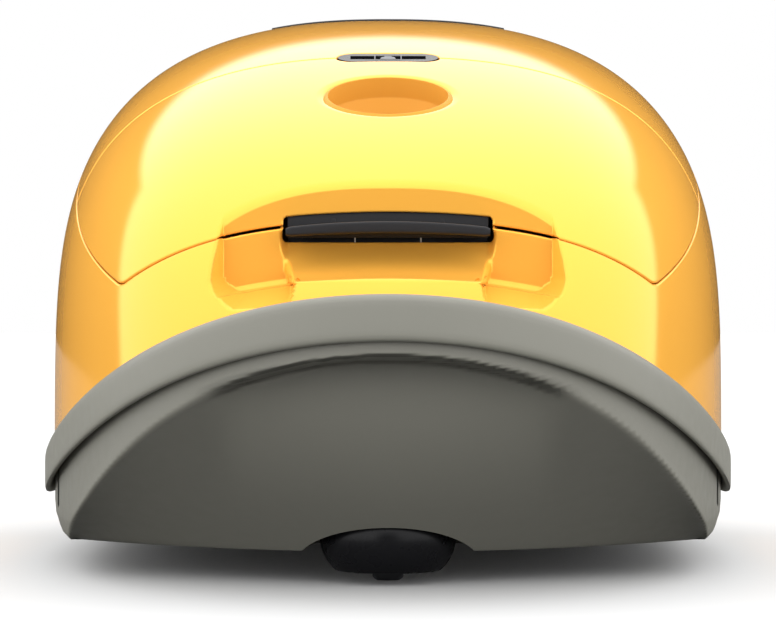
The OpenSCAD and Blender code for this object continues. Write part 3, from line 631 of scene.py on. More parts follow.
# A closed skin through a row of rings, with both ends capped.
def loft(name, rings, material, sharp):
    m, last = len(rings[0]), (len(rings) - 1) * len(rings[0])
    faces = [[k + j, k + m + j, k + m + (j + 1) % m, k + (j + 1) % m] for k in range(0, last,
            m) for j in range(m)]
    faces += [list(range(m)), list(range(last, last + m))[::-1]]
    return faceOut(meshObject(name, [point for ring in rings for point in ring], faces, material), sharp)


def faceOut(thing, angle=None):
    bm = bmesh.new()
    bm.from_mesh(thing.data)
    bmesh.ops.remove_doubles(bm, verts=bm.verts, dist=1e-6)
    bmesh.ops.dissolve_degenerate(bm, edges=bm.edges, dist=1e-7)
    bmesh.ops.recalc_face_normals(bm, faces=bm.faces)
    if angle is not None:
        for edge in bm.edges:
            edge.smooth = not (edge.is_manifold and edge.calc_face_angle(0) > math.radians(angle))
    bm.to_mesh(thing.data)
    bm.free()
    return thing


bumper = makeBumper()
place(bumper, "chassis", "light_grey", "bumper")


# Base: wall, scoop and underside in one skin

baseForm = {"topZ": 104.0, "gapZ": 13.5, "wall": 2.4, "footS": 87.0,
            "tuck": ((112, -1.0), (60, -0.4), (27, -0.2), (22, -0.6), (19.5, -1.4), (17, -2.1), (15, -2.9),
                    (13.5, -4.2)),
            "scoopEdgeZ": 89.4, "castorS": 105.0, "castorWell": 37.0, "castorFront": 27.4,
            "lip": 1.4, "pocketDeep": 24.0}
halfCount = 165
halfRunQ = np.linspace(0, 1, 8001)
halfRunS = np.where(halfRunQ < 0.5, 4.0001 + 296 * (2 * halfRunQ) ** 3,
                    476 - 1e-4 - 176 * (2 - 2 * halfRunQ) ** 3)
halfRunW = halfWidth(halfRunS)
halfRunArc = np.concatenate([[0], np.cumsum(np.hypot(np.diff(halfRunS), np.diff(halfRunW)))])
tuckZ = np.array([t[0] for t in baseForm["tuck"]][::-1], float)
tuckOff = np.array([t[1] for t in baseForm["tuck"]][::-1], float)


def scoopLine(x):
    b = baseForm
    edgeZ = b["scoopEdgeZ"] - 0.00288 * x * x - 9.4e-8 * x ** 4
    frontHalf = halfRunS < 300
    edgeS = np.interp(np.abs(x) + 0.4, halfRunW[frontHalf], halfRunS[frontHalf])
    return edgeZ, edgeS, b["footS"] + 0.0040 * x * x


def scoopBack(x, z):
    b = baseForm
    edgeZ, edgeS, footS = scoopLine(x)
    t = (edgeZ - z) / np.maximum(edgeZ - b["gapZ"], 6.0)
    ruled = edgeS + t * (footS - edgeS)
    # a lip all round the edge, and a hand pocket that starts deep below it and runs out downwards
    lip = b["lip"] * smoothStep(0.0, 0.9, edgeZ - z)
    across = smoothStep(67, 53, np.abs(x))
    up = np.clip((z - 24) / 62, 0, 1) ** 2.6 * smoothStep(0.1, 1.0, edgeZ - z)
    return ruled + lip + b["pocketDeep"] * across * up


def basePoint(uv):
    # u runs round the plan from -1 to 1 with 0 at the nose, v runs down the wall and then under to the middle
    side = np.sign(uv[:, 0])
    q = np.abs(uv[:, 0])
    s = np.interp(q * halfRunArc[-1], halfRunArc, halfRunS)
    v = uv[:, 1]
    z = np.where(v < 1, baseForm["topZ"] + (baseForm["gapZ"] - baseForm["topZ"]) * np.clip(v, -1, 1),
                 baseForm["gapZ"])
    off = np.interp(z, tuckZ, tuckOff)
    # off is a whole offset in width, and a pull towards the middle of the length
    x = np.maximum(halfWidth(s) + off, 0) * np.minimum(1, halfWidth(s) / 3)
    y = 238 + (s - 238) * (1 + 2 * off / length)
    x = side * x
    y = smoothMax(y, np.where(np.abs(x) < 134, scoopBack(x, z), -99), 0.7)
    under = np.clip(v - 1, 0, 1)
    return np.stack([x * (1 - under), y, z], 1)


def castorOutline(p):
    run = p[:, 1] - baseForm["castorS"]
    run = np.where(run < 0, run * baseForm["castorWell"] / baseForm["castorFront"], run)
    return np.where(p[:, 2] < 38, np.hypot(p[:, 0], run) - baseForm["castorWell"], 99)


def parkOutline(p):
    return roundBox(p[:, 0], p[:, 1], 17.2, 235.8, 300.2, 2)


def baseArch(p):
    wallCut = np.hypot(p[:, 1] - wheelForm["s"], p[:, 2] - wheelForm["z"]) - wheelForm["arch"]
    return np.where((p[:, 1] > 300) & (p[:, 1] < 450), np.maximum(wallCut, 108 - np.abs(p[:, 0])), 99)


underRows = 1 + np.linspace(0, 1, 18)[1:]
downRows = np.concatenate([np.linspace(0, 0.86, 88), np.linspace(0.86, 1, 26)[1:]])
baseU = np.linspace(-1, 1, 2 * halfCount + 1)
uvBase, trisBase = gridSheet(baseU, np.concatenate([downRows, underRows]))
lowOnly = lambda f: (lambda p: np.where(p[:, 2] < 20, f(p), 99))
def screwOutline(p):
    return np.min([np.hypot(p[:, 0] - e * 100, p[:, 1] - s) for e in (-1, 1) for s in (170, 250, 300)],
            0) - 4.2


def cordHole(p):
    return np.where(p[:, 1] > 430, np.hypot(p[:, 0] - 45, p[:, 2] - 78) - 8.2, 99)


baseFields = [lambda p: bumperLine(p[:, 0], 103.8) - p[:, 2], castorOutline, lowOnly(parkOutline),
              lowOnly(screwOutline), baseArch, cordHole]
for field in baseFields:
    uvBase, trisBase = tidySheet(*cutSheet(uvBase, trisBase, basePoint, field))
# the base takes the darker grey: its own plastic colour plus painted shade on the scoop
baseSkin = wallObject("baseShell", uvBase, trisBase, basePoint, basePoint, baseForm["wall"], "baseGreyPaintedShade")
place(baseSkin, "chassis", "light_grey", "lower_housing")
print("base:", len(baseSkin.data.polygons))


# Shared makers

# Rounds each corner of an outline with a few short steps.
def softOutline(points, radius, steps=3, closed=True):
    out, count = [], len(points)
    for i, corner in enumerate(points):
        if not closed and i in (0, count - 1):
            out.append(tuple(corner))
            continue
        p, a, b = (np.array(points[k % count], float) for k in (i, i - 1, i + 1))
        la, lb = np.linalg.norm(a - p), np.linalg.norm(b - p)
        reach = min(radius, la * 0.45, lb * 0.45)
        start, end = p + (a - p) / la * reach, p + (b - p) / lb * reach
        for t in np.linspace(0, 1, steps + 1):
            out.append(tuple((1 - t) ** 2 * start + 2 * (1 - t) * t * p + t * t * end))
    return out


# A closed profile of (radius, height along the axis) turned round an axis through centre.
def turned(name, profile, centre, axis, material, steps=96, sharp=38, round=0.5):
    profile = softOutline(profile, round) if round else profile
    axis = np.array(axis, float) / np.linalg.norm(axis)
    side = np.cross(axis, [1.0, 0, 0] if abs(axis[0]) < 0.9 else [0, 1.0, 0])
    side /= np.linalg.norm(side)
    up = np.cross(axis, side)
    turns = np.arange(steps) * 2 * np.pi / steps
    verts = [np.array(centre) + axis * h + (side * math.cos(a) + up * math.sin(a)) * max(r, 0)
             for r, h in profile for a in turns]
    faces, count = [], len(profile)
    for j in range(count):
        k = (j + 1) % count
        if profile[j][0] <= 1e-6 and profile[k][0] <= 1e-6:
            continue
        faces += [[j * steps + i, j * steps + (i + 1) % steps, k * steps + (i + 1) % steps, k * steps + i]
                  for i in range(steps)]
    return faceOut(meshObject(name, verts, faces, material), sharp)


# A straight-sided block: outline in the plane of two axes, from low to high along the third, edges eased.
def prism(name, outline, axes, low, high, material, ease=0.5, sharp=38):
    count = len(outline)
    verts = []
    for level in (low, high):
        for a, b in outline:
            point = [0.0, 0.0, 0.0]
            point[axes[0]], point[axes[1]], point[axes[2]] = a, b, level
            verts.append(point)
    faces = [list(range(count)), list(range(count, 2 * count))[::-1]]
    faces += [[i, (i + 1) % count, count + (i + 1) % count, count + i] for i in range(count)]
    thing = faceOut(meshObject(name, verts, faces, material), None)
    if ease:
        bm = bmesh.new()
        bm.from_mesh(thing.data)
        edges = [e for e in bm.edges if e.is_manifold and e.calc_face_angle(0) > math.radians(50)]
        bmesh.ops.bevel(bm, geom=edges, offset=ease * 0.001, segments=2, profile=0.5, affect="EDGES",
                        clamp_overlap=True)
        bm.to_mesh(thing.data)
        bm.free()
    return faceOut(thing, sharp)


def block(name, xs, ss, zs, material, ease=0.5):
    outline = [(xs[0], ss[0]), (xs[1], ss[0]), (xs[1], ss[1]), (xs[0], ss[1])]
    return prism(name, outline, (0, 1, 2), zs[0], zs[1], material, ease)


def join(name, things):
    bm = bmesh.new()
    materials = []
    for thing in things:
        piece = thing.data
        slotOf = []
        for material in piece.materials:
            if material not in materials:
                materials.append(material)
            slotOf.append(materials.index(material))
        first = len(bm.faces)
        bm.from_mesh(piece)
        bm.faces.ensure_lookup_table()
        for face in bm.faces[first:]:
            face.material_index = slotOf[face.material_index] if slotOf else 0
    mesh = bpy.data.meshes.new(name)
    bm.to_mesh(mesh)
    bm.free()
    for material in materials:
        mesh.materials.append(material)
    for thing in things:
        bpy.data.objects.remove(thing)
    out = bpy.data.objects.new(name, mesh)
    bpy.context.scene.collection.objects.link(out)
    return out


# Copies of one shape on given points, each turned by its own angles, made real and given a finish.
def repeatTree():
    tree = bpy.data.node_groups.new("repeatOnPoints", "GeometryNodeTree")
    face = tree.interface
    face.new_socket("Geometry", in_out="OUTPUT", socket_type="NodeSocketGeometry")
    face.new_socket("Geometry", in_out="INPUT", socket_type="NodeSocketGeometry")
    face.new_socket("Shape", in_out="INPUT", socket_type="NodeSocketObject")
    face.new_socket("Size", in_out="INPUT", socket_type="NodeSocketFloat")
    face.new_socket("Finish", in_out="INPUT", socket_type="NodeSocketMaterial")
    enter, leave = tree.nodes.new("NodeGroupInput"), tree.nodes.new("NodeGroupOutput")
    shape = tree.nodes.new("GeometryNodeObjectInfo")
    place = tree.nodes.new("GeometryNodeInstanceOnPoints")
    turn = tree.nodes.new("GeometryNodeInputNamedAttribute")
    turn.data_type = "FLOAT_VECTOR"
    turn.inputs["Name"].default_value = "turn"
    real = tree.nodes.new("GeometryNodeRealizeInstances")
    finish = tree.nodes.new("GeometryNodeSetMaterial")
    link = tree.links.new
    link(enter.outputs["Geometry"], place.inputs["Points"])
    link(enter.outputs["Shape"], shape.inputs["Object"])
    link(shape.outputs["Geometry"], place.inputs["Instance"])
    link(turn.outputs["Attribute"], place.inputs["Rotation"])
    link(enter.outputs["Size"], place.inputs["Scale"])
    link(place.outputs["Instances"], real.inputs["Geometry"])
    link(real.outputs["Geometry"], finish.inputs["Geometry"])
    link(enter.outputs["Finish"], finish.inputs["Material"])
    link(finish.outputs["Geometry"], leave.inputs["Geometry"])
    return tree


repeatOnPoints = repeatTree()


# Points are (x, s, z) in mm, turns are degrees, and the shape stands round the middle of the frame
def repeated(name, points, turns, shape, material, size=1.0):
    mesh = bpy.data.meshes.new(name + "Points")
    mesh.from_pydata([(x * 0.001, (s - length / 2) * 0.001, z * 0.001) for x, s, z in points], [], [])
    layer = mesh.attributes.new("turn", "FLOAT_VECTOR", "POINT")
    layer.data.foreach_set("vector", [math.radians(a) for turn in turns for a in turn])
    host = bpy.data.objects.new(name + "Points", mesh)
    bpy.context.scene.collection.objects.link(host)
    modifier = host.modifiers.new("repeat", "NODES")
    modifier.node_group = repeatOnPoints
    values = {"Shape": shape, "Size": size, "Finish": finishes[material]}
    for item in repeatOnPoints.interface.items_tree:
        if item.item_type == "SOCKET" and item.in_out == "INPUT" and item.name in values:
            modifier[item.identifier] = values[item.name]
    bpy.context.view_layer.update()
    ready = host.evaluated_get(bpy.context.evaluated_depsgraph_get())
    out = bpy.data.objects.new(name, bpy.data.meshes.new_from_object(ready))
    out.data.name = name
    bpy.context.scene.collection.objects.link(out)
    host.modifiers.clear()
    bpy.data.objects.remove(host)
    bpy.data.objects.remove(shape)
    return out


# Release bar and what hangs below it

barForm = {"halfX": 37.3, "frontS": 29.2, "backS": 43.0, "topZ": 138.7, "lowZ": 134.5, "topBow": 0.00155,
           "lowBow": 0.0009, "steps": 44}


def makeBar():
    b = barForm
    rings = []
    for x in np.linspace(-b["halfX"], b["halfX"], b["steps"] + 1):
        top, low = b["topZ"] - b["topBow"] * x * x, b["lowZ"] - b["lowBow"] * x * x
        ease = max(0.0, abs(x) - b["halfX"] + 0.8) * 0.55
        ring = softOutline([(b["frontS"] + ease, low + ease), (b["backS"], low + ease),
                            (b["backS"], top - ease), (b["frontS"] + ease, top - ease)], 0.9, 4)
        rings.append([(x, s, z) for s, z in ring])
    parts = [loft("barFace", rings, "blackMatte", 40),
             block("barWeb", (-26, 26), (42, 54), (133.8, 137.8), "blackMatte"),
             block("barBlock", (-26, 26), (52, 58), (134, 141), "blackMatte"),
             block("barBlade", (-12, 12), (52, 55), (124, 135), "blackMatte"),
             prism("barHook", [(54, 124), (57.6, 124.6), (57.6, 126.2), (54, 127)], (1, 2, 0), -12, 12,
                   "blackMatte", 0.3)]
    # Black screens behind the slot, above and below the bar: painted shade that hides the inside seen through
    # the slot
    parts.append(block("barShade", (-37, 37), (43.2, 44.2), (133, 143.2), "blackMatte", 0.2))
    for e in (-1, 1):
        parts.append(block("barApron", sorted((e * 12.5, e * 37)), (51.6, 52.4), (128, 134), "blackMatte",
                0.2))
        parts.append(turned("barPin", [(0, -4), (2, -4), (2, 4), (0, 4)], (e * 29, 55, 138), (1, 0, 0),
                            "blackMatte", 24, round=0.3))
        parts.append(block("barRib", (e * 20 - 0.8, e * 20 + 0.8), (43, 53), (137.6, 140), "blackMatte", 0.3))
    return join("releaseBar", parts)


place(makeBar(), "latch", "black_matte", "release_lever")


# Hose socket

socketForm = {"mouth": 23.7, "ring": 24.15, "ledge": -8.8, "bore": 19.0, "boreTop": -14.0, "low": -34.0}
socketAxis = (0, -math.sin(socket["lean"]), math.cos(socket["lean"]))
socketAt = (0, socket["s"], socket["z"])


def makeSocket():
    f = socketForm
    profile = [(f["mouth"], -0.5), (f["ring"], -0.5), (26.0, -2.2), (26.0, -5.8), (30.6, -5.8), (30.6, -8.0),
               (26.0, -8.0), (26.0, -10.2), (21.4, -15.4), (21.4, f["low"]), (f["bore"], f["low"]),
               (f["bore"], f["boreTop"]), (f["mouth"], f["ledge"])]
    # the socket takes the darker yellow: painted shade inside the hose hole
    body = turned("socketBody", profile, socketAt, socketAxis, "socketPaintedShadeYellow", 128, round=0.45)
    ridges = [turned("socketRidge", [(f["bore"] + 0.2, h - 0.7), (f["bore"] - 0.7, h - 0.3),
                                     (f["bore"] - 0.7, h + 0.3), (f["bore"] + 0.2, h + 0.7)],
                                     socketAt, socketAxis,
                     "socketPaintedShadeYellow", 96, round=0.2) for h in (-18.5, -29.0)]
    return join("hoseSocket", [body] + ridges)


place(makeSocket(), "lid", "yellow_gloss", "hose_socket")


# Bag-full window: a dark lens flush with the body and its printed sign

signForm = {"halfX": 5.6, "lowS": 172.6, "highS": 181.4, "line": 0.42, "lift": 0.12, "depth": 0.5}


def makeLens():
    inside = [lambda p: 0.15 - windowOutline(p)]
    uv, tris = part(*bodySheet, inside, rows=(0.15, 0.35, 0.7))
    base, placed = shellPlacer(inside, 0.6, lift=-0.25)
    return wallObject("windowLens", uv, tris, base, placed, 1.8, "smokedWindow")


def signStrip(points):
    f = signForm
    dense = []
    for (x0, s0), (x1, s1) in zip(points, points[1:] + points[:1]):
        count = max(1, int(math.hypot(x1 - x0, s1 - s0) / 1.0))
        dense += [(x0 + (x1 - x0) * t / count, s0 + (s1 - s0) * t / count) for t in range(count)]
    x, s = np.array(dense).T
    top = bodyTop(x, s) - 0.25 + f["lift"]
    count = len(dense)
    verts = [(x[i], s[i], top[i]) for i in range(count)] + [(x[i], s[i],
            top[i] - f["depth"]) for i in range(count)]
    faces = [list(range(count)), list(range(count, 2 * count))[::-1]]
    faces += [[i, (i + 1) % count, count + (i + 1) % count, count + i] for i in range(count)]
    return faceOut(meshObject("signStrip", verts, faces, "signGrey"), 40)


def makeSign():
    f = signForm
    x, a, b, w = f["halfX"], f["lowS"], f["highS"], f["line"]
    strips = [[(-x, a), (x, a), (x, a + w), (-x, a + w)], [(-x, b - w), (x, b - w), (x, b), (-x, b)],
              [(-x, a + w), (-x + w, a + w), (-x + w, b - w), (-x, b - w)],
              [(x - w, a + w), (x, a + w), (x, b - w), (x - w, b - w)]]
    # a plain sack: a body wider at its foot, and a short collar
    strips += [[(-2.9, 174.2), (2.9, 174.2), (3.2, 175.4), (2.4, 177.7), (1.2, 178.3), (-1.2, 178.3),
                (-2.4, 177.7), (-3.2, 175.4)], [(-1.5, 178.7), (1.5, 178.7), (1.5, 179.8), (-1.5, 179.8)]]
    return join("windowSign", [signStrip(points) for points in strips])


place(makeLens(), "chassis", "clear", "indicator_window")
place(makeSign(), "chassis", "dark_grey")
print("latch, socket and window made")


# Castor: dome with two cheeks, and its roller

castorForm = {"s": 105.0, "wheelS": 117.0, "wheelZ": 12.5, "wheelR": 12.5, "halfWheel": 6.7, "steps": 96}


def makeCastor():
    at = (0, castorForm["s"], 0)
    profile = [(3.3, 26.6), (8, 26.6), (8, 33), (17.6, 32.4), (21.8, 28), (23.4, 20), (21.5, 12), (17.4, 5.6)]
    profile += [(26.5 * math.cos(a) ** 0.9, 18 + 19.5 * math.sin(a)) for a in np.linspace(-0.72, 1.2, 22)]
    profile += [(3.3, 38)]
    parts = [turned("castorDome", profile, at, (0, 0, 1), "blackGloss", castorForm["steps"], round=0.7)]
    for e in (-1, 1):
        outline = [(97, 12), (97, 30), (124.6, 30), (124.6, 11), (121, 5.6), (113, 5.2)]
        parts.append(prism("castorCheek", softOutline(outline, 5, 5), (1, 2, 0), e * 11.3 - 3.4,
                           e * 11.3 + 3.4, "blackGloss", 0.9))
    return join("castorSwivel", parts)


def makeRoller():
    f = castorForm
    h = f["halfWheel"]
    profile = [(2.8, -h), (8.6, -h), (9.2, -h + 0.7), (11.0, -h + 0.5), (f["wheelR"], -h + 2.2),
               (f["wheelR"], h - 2.2), (11.0, h - 0.5), (9.2, h - 0.7), (8.6, h), (2.8, h)]
    return turned("castorRoller", profile, (0, f["wheelS"], f["wheelZ"]), (1, 0, 0), "castorTread", 72,
            round=0.8)


place(makeCastor(), "castor", "black_gloss", "castor_fork")
place(makeRoller(), "castor_roller", "black_matte", "castor_wheel")


# Rear wheels

wheelParts = {"inX": 113.0, "outX": 143.0, "tyreR": 52.0, "capR": 40.2, "ribs": 60, "ribDepth": 0.5}


def makeWheel(side, tag):
    w = wheelParts
    at, axis = (0, wheelForm["s"], wheelForm["z"]), (side, 0, 0)
    inner, outer = w["inX"], w["outX"]
    rim = turned(tag + "Rim", [(6.4, inner + 1), (12, inner + 1), (12, inner + 9), (42, inner + 9),
                               (42, inner + 1), (45.9, inner + 1), (45.9, outer - 3), (42, outer - 3),
                               (38, inner + 13), (12, inner + 13), (12, outer - 6), (6.4, outer - 6)],
                 at, axis, "darkGrey", 128)
    place(rim, "wheel_" + tag, "dark_grey", tag + "_wheel")
    r = w["tyreR"] - w["ribDepth"]
    tyre = turned(tag + "TyreBand", [(46.1, inner), (r - 2, inner), (r, inner + 3), (r, outer - 7),
                                     (r - 2.2, outer - 2.6), (46.1, outer - 2)], at, axis, "softRubber", 144,
                  round=1.6)
    rib = block("rib", (-9.6, 9.6), (length / 2 - 1.0, length / 2 + 1.0), (-0.7, w["ribDepth"]),
                        "softRubber", 0.2)
    middle = side * (inner + outer - 4) / 2
    angles = [360.0 * k / w["ribs"] for k in range(w["ribs"])]
    points = [(middle, wheelForm["s"] + r * math.sin(math.radians(a)),
               wheelForm["z"] + r * math.cos(math.radians(a))) for a in angles]
    ribs = repeated(tag + "Ribs", points, [(-a, 0, 0) for a in angles], rib, "softRubber")
    place(join(tag + "Tyre", [tyre, ribs]), "wheel_" + tag, "tyre", tag + "_tyre")
    cap = turned(tag + "CapDisc", [(0, outer - 2.4), (w["capR"], outer - 2.4), (w["capR"], outer - 1.5),
                                   (37.5, outer - 0.5), (35.6, outer - 0.6), (34.6, outer - 1.5),
                                   (16.4, outer - 1.5), (15.2, outer - 0.2), (12.5, outer), (0, outer)],
                 at, axis, "lightGrey", 128, round=0.8)
    place(cap, "wheel_" + tag, "light_grey", tag + "_hub_cap")


makeWheel(1, "left")
makeWheel(-1, "right")


# Wheel wells, castor well and parking recess: the walls behind the holes in the skins

wellForm = {"arch": 57.0, "wall": 2.2, "inX": 108.0, "floorZ": 14.4, "steps": 90, "across": 8}


def makeWheelWell(side):
    f = wellForm
    reach = math.asin((wheelForm["z"] - f["floorZ"]) / f["arch"])
    angles = np.linspace(-reach, math.pi + reach, f["steps"] + 1)
    rows = []
    for grow in (0.0, f["wall"]):
        for a in angles:
            s, z = (wheelForm["s"] + (f["arch"] + grow) * math.cos(a),
                    max(wheelForm["z"] + (f["arch"] + grow) * math.sin(a), f["floorZ"]))
            edge = max(float(halfWidth(np.array(wheelForm["s"] + f["arch"] * math.cos(a)))) - 2.6,
                    f["inX"] + 0.2)
            rows.append([(side * x, s, z) for x in np.linspace(f["inX"] - 0.5, edge, f["across"] + 1)])
    n, m = len(angles), f["across"] + 1
    verts = [p for row in rows for p in row]
    faces = []
    for i in range(n - 1):
        for j in range(m - 1):
            for k in (0, n * m):
                faces.append([k + i * m + j, k + i * m + j + 1, k + (i + 1) * m + j + 1, k + (i + 1) * m + j])
        for j in (0, m - 1):
            faces.append([i * m + j, (i + 1) * m + j, n * m + (i + 1) * m + j, n * m + i * m + j])
    for i in (0, n - 1):
        faces += [[i * m + j, i * m + j + 1, n * m + i * m + j + 1, n * m + i * m + j] for j in range(m - 1)]
    hoop = faceOut(meshObject("wellHoop", verts, faces, "darkGrey"), 40)
    r = f["arch"] + f["wall"]
    arc = [(wheelForm["s"] + r * math.cos(a), max(wheelForm["z"] + r * math.sin(a), f["floorZ"]))
           for a in np.linspace(-reach, math.pi + reach, 72)]
    disc = prism("wellDisc", arc, (1, 2, 0), side * (f["inX"] - 2.2), side * f["inX"], "darkGrey", 0)
    return join(("left" if side > 0 else "right") + "WheelWell", [hoop, disc])


for e in (1, -1):
    place(makeWheelWell(e), "chassis", "dark_grey")


def makeCastorWell():
    well = turned("castorWell", [(0, 40), (36.4, 40), (36.9, 38), (36.9, 14.2), (39.3, 14.2), (39.3, 42.4),
                                 (0, 42.4)], (0, 105, 0), (0, 0, 1), "darkGrey", 96, round=0.8)
    squeeze = baseForm["castorFront"] / baseForm["castorWell"]
    for vertex in well.data.vertices:
        x, s, z = vertex.co.x * 1000, vertex.co.y * 1000 + length / 2, vertex.co.z * 1000
        if s < 105:
            s = 105 - (105 - s) * squeeze
        edgeZ, edgeS, footS = scoopLine(x)
        scoopZ = edgeZ - (s - edgeS) / (footS - edgeS) * (edgeZ - baseForm["gapZ"])
        vertex.co.y, vertex.co.z = (s - length / 2) * 0.001, max(z, min(scoopZ + 1.6, 39.0)) * 0.001
    return well


place(makeCastorWell(), "chassis", "dark_grey")
parkWalls = [block("parkWall", xs, ss, zs, "darkGrey", 0) for xs, ss, zs in (
    ((-19.4, -17.1), (233.6, 302.4), (14.2, 34.4)), ((17.1, 19.4), (233.6, 302.4), (14.2, 34.4)),
    ((-17.1, 17.1), (233.6, 235.9), (14.2, 34.4)), ((-17.1, 17.1), (300.1, 302.4), (14.2, 34.4)),
    ((-17.1, 17.1), (235.9, 300.1), (32.0, 34.4)))]
place(join("parkingRecess", parkWalls), "chassis", "dark_grey")


# Grip pocket and carrying handle

def gripRing(grow, steps=10):
    g = gripForm
    hx, c = g["halfX"] + grow, g["corner"] + grow
    ring = []
    for cx, cs, start in ((hx - c, g["backS"] + grow - c, 0), (-hx + c, g["backS"] + grow - c, 90),
                          (-hx + c, g["frontS"] - grow + c, 180), (hx - c, g["frontS"] - grow + c, 270)):
        for a in np.linspace(start, start + 90, steps + 1):
            ring.append((cx + c * math.cos(math.radians(a)), cs + c * math.sin(math.radians(a))))
    dense = []
    for (x0, s0), (x1, s1) in zip(ring, ring[1:] + ring[:1]):
        count = max(1, int(math.hypot(x1 - x0, s1 - s0) / 3.0))
        dense += [(x0 + (x1 - x0) * t / count, s0 + (s1 - s0) * t / count) for t in range(count)]
    return dense


def makePocket():
    inner, outer = gripRing(0.25), gripRing(2.4)
    count = len(inner)
    if len(outer) != count:
        outer = [tuple(np.array(p) + 2.15 * np.array(n)) for p, n in zip(inner, outwardOf(inner))]
    x, s = np.array(inner).T
    top = bodyTop(x, s) - 1.1
    floor = gripForm["floorZ"]
    round = gripForm["floorRound"]
    rows = [[(x[i], s[i], floor + round + (top[i] - floor - round) * t) for i in range(count)]
            for t in (1.0, 0.66, 0.33)]
    for a in np.radians(np.linspace(0, 90, 5)):
        rows.append([(*point, floor + round * (1 - math.sin(a)))
                     for point in shrunk(inner, round * (1 - math.cos(a)))])
    outerRows = [[(p[0], p[1], z) for p, z in zip(outer, [*top])], [(p[0], p[1], floor - 2.4) for p in outer]]
    rings = outerRows[::-1] + rows
    verts = [p for ring in rings for p in ring]
    faces = [[k * count + i, k * count + (i + 1) % count, (k + 1) * count + (i + 1) % count,
            (k + 1) * count + i]
             for k in range(len(rings) - 1) for i in range(count)]
    faces += [list(range(count))[::-1], list(range((len(rings) - 1) * count, len(rings) * count))]
    return faceOut(meshObject("gripPocket", verts, faces, "yellowGloss"), 40)


def outwardOf(ring):
    p = np.array(ring)
    along = np.roll(p, -1, 0) - np.roll(p, 1, 0)
    n = np.stack([along[:, 1], -along[:, 0]], 1)
    return n / np.linalg.norm(n, axis=1, keepdims=True)


def shrunk(ring, inset):
    return [tuple(np.array(p) - inset * n) for p, n in zip(ring, outwardOf(ring))]


handleForm = {"halfX": 53.7, "frontS": 336.0, "backS": 360.0, "lowZ": 214.0, "proud": 1.2, "archR": 13.0,
              "archZ": 205.0, "steps": 48}


def makeHandle():
    h = handleForm
    rings = []
    for x in np.linspace(-h["halfX"], h["halfX"], h["steps"] + 1):
        outline = []
        for s in np.linspace(h["frontS"], h["backS"], 15):
            outline.append((s, float(bodyTop(np.array(x), np.array(s))) + h["proud"]))
        for s in np.linspace(h["backS"], h["frontS"], 15):
            hollow = h["archZ"] + math.sqrt(max(h["archR"] ** 2 - (s - 348) ** 2, 0))
            outline.append((s, max(h["lowZ"], hollow)))
        corners = softOutline(outline[:1] + outline[1:14] + outline[14:16] + outline[16:29] + outline[29:],
                2.4, 2)
        rings.append([(x, s, z) for s, z in corners])
    return loft("carryHandle", rings, "blackMatte", 40)


place(makePocket(), "chassis", "yellow_gloss")
place(makeHandle(), "chassis", "black_matte", "carry_handle")
print("wheels, wells and handle made")


# Pedals and dial

def makePedal(side, name, node, body):
    inside = [lambda p: np.where(p[:, 2] > 190, -0.15 - pedalOutline(p, side), -99)]
    uv, tris = part(*bodySheet, inside, rows=(0.12, 0.4, 0.9, 1.5))
    base, placed = shellPlacer(inside, 1.6, lift=1.9)
    plate = wallObject(name + "Plate", uv, tris, base, placed, 5.0, "darkGrey", lambda p: np.ones(len(p)))
    rib = block("rib", (-16, 16), (length / 2 - 0.8, length / 2 + 0.8), (-0.8, 0.75), "darkGrey", 0.35)
    points, turns = [], []
    for s in np.linspace(398, 414, 5):
        x = side * (pedalForm["inX"] + pedalForm["outX"]) / 2
        z = [float(bodyTop(np.array(x + d), np.array(s + e))) for d, e in ((0, 0), (8, 0), (-8, 0), (0, 2),
                (0, -2))]
        points.append((x, s, z[0] + 1.75))
        turns.append((math.degrees(math.atan2(z[3] - z[4], 4)), -math.degrees(math.atan2(z[1] - z[2], 16)),
                0))
    ribs = repeated(name + "Ribs", points, turns, rib, "darkGrey")
    place(join(name, [plate, ribs]), body, "dark_grey", node)


makePedal(1, "powerPedal", "power_pedal", "pedal_power")
makePedal(-1, "rewindPedal", "rewind_pedal", "pedal_rewind")


def makeDial():
    axis = np.array([0, math.sin(dialForm["lean"]), math.cos(dialForm["lean"])])
    at = np.array([0, dialForm["s"], dialForm["z"]])
    body = turned("dialBody", [(0, -6), (17, -6), (17, 2.2), (16.2, 3), (15.2, 3), (14.4, 5.2), (0, 5.4)],
                  at, axis, "darkGrey", 120, round=0.6)
    shape = block("flute", (-0.7, 0.7), (length / 2 - 0.5, length / 2 + 0.5), (-1.2, 1.2), "darkGrey", 0.25)
    lean = -math.degrees(dialForm["lean"])
    points, turns = [], []
    for a in np.arange(0, 360, 15):
        c, q = math.cos(math.radians(a)), math.sin(math.radians(a))
        radial = np.array([c, q * math.cos(dialForm["lean"]), -q * math.sin(dialForm["lean"])])
        points.append(tuple(at + axis * 4.0 + radial * 14.9))
        turns.append((lean, 0, 0))
    flutes = repeated("dialFlutes", points, turns, shape, "darkGrey")
    mark = block("mark", (-0.7, 0.7), (length / 2 - 4, length / 2 + 4), (-0.4, 0.25), "lightGrey", 0.15)
    spot = at + axis * 5.4 + np.array([0, math.cos(dialForm["lean"]), -math.sin(dialForm["lean"])]) * 8.5
    pointer = repeated("dialPointer", [tuple(spot)], [(lean, 0, 0)], mark, "lightGrey")
    place(join("powerDial", [body, flutes, pointer]), "dial", "dark_grey", "power_dial")


makeDial()


# Exhaust grille

grilleForm = {"halfX": 46.0, "lowZ": 129.0, "highZ": 178.0, "pitch": 5.6, "slatHigh": 2.4, "slatDeep": 3.0}


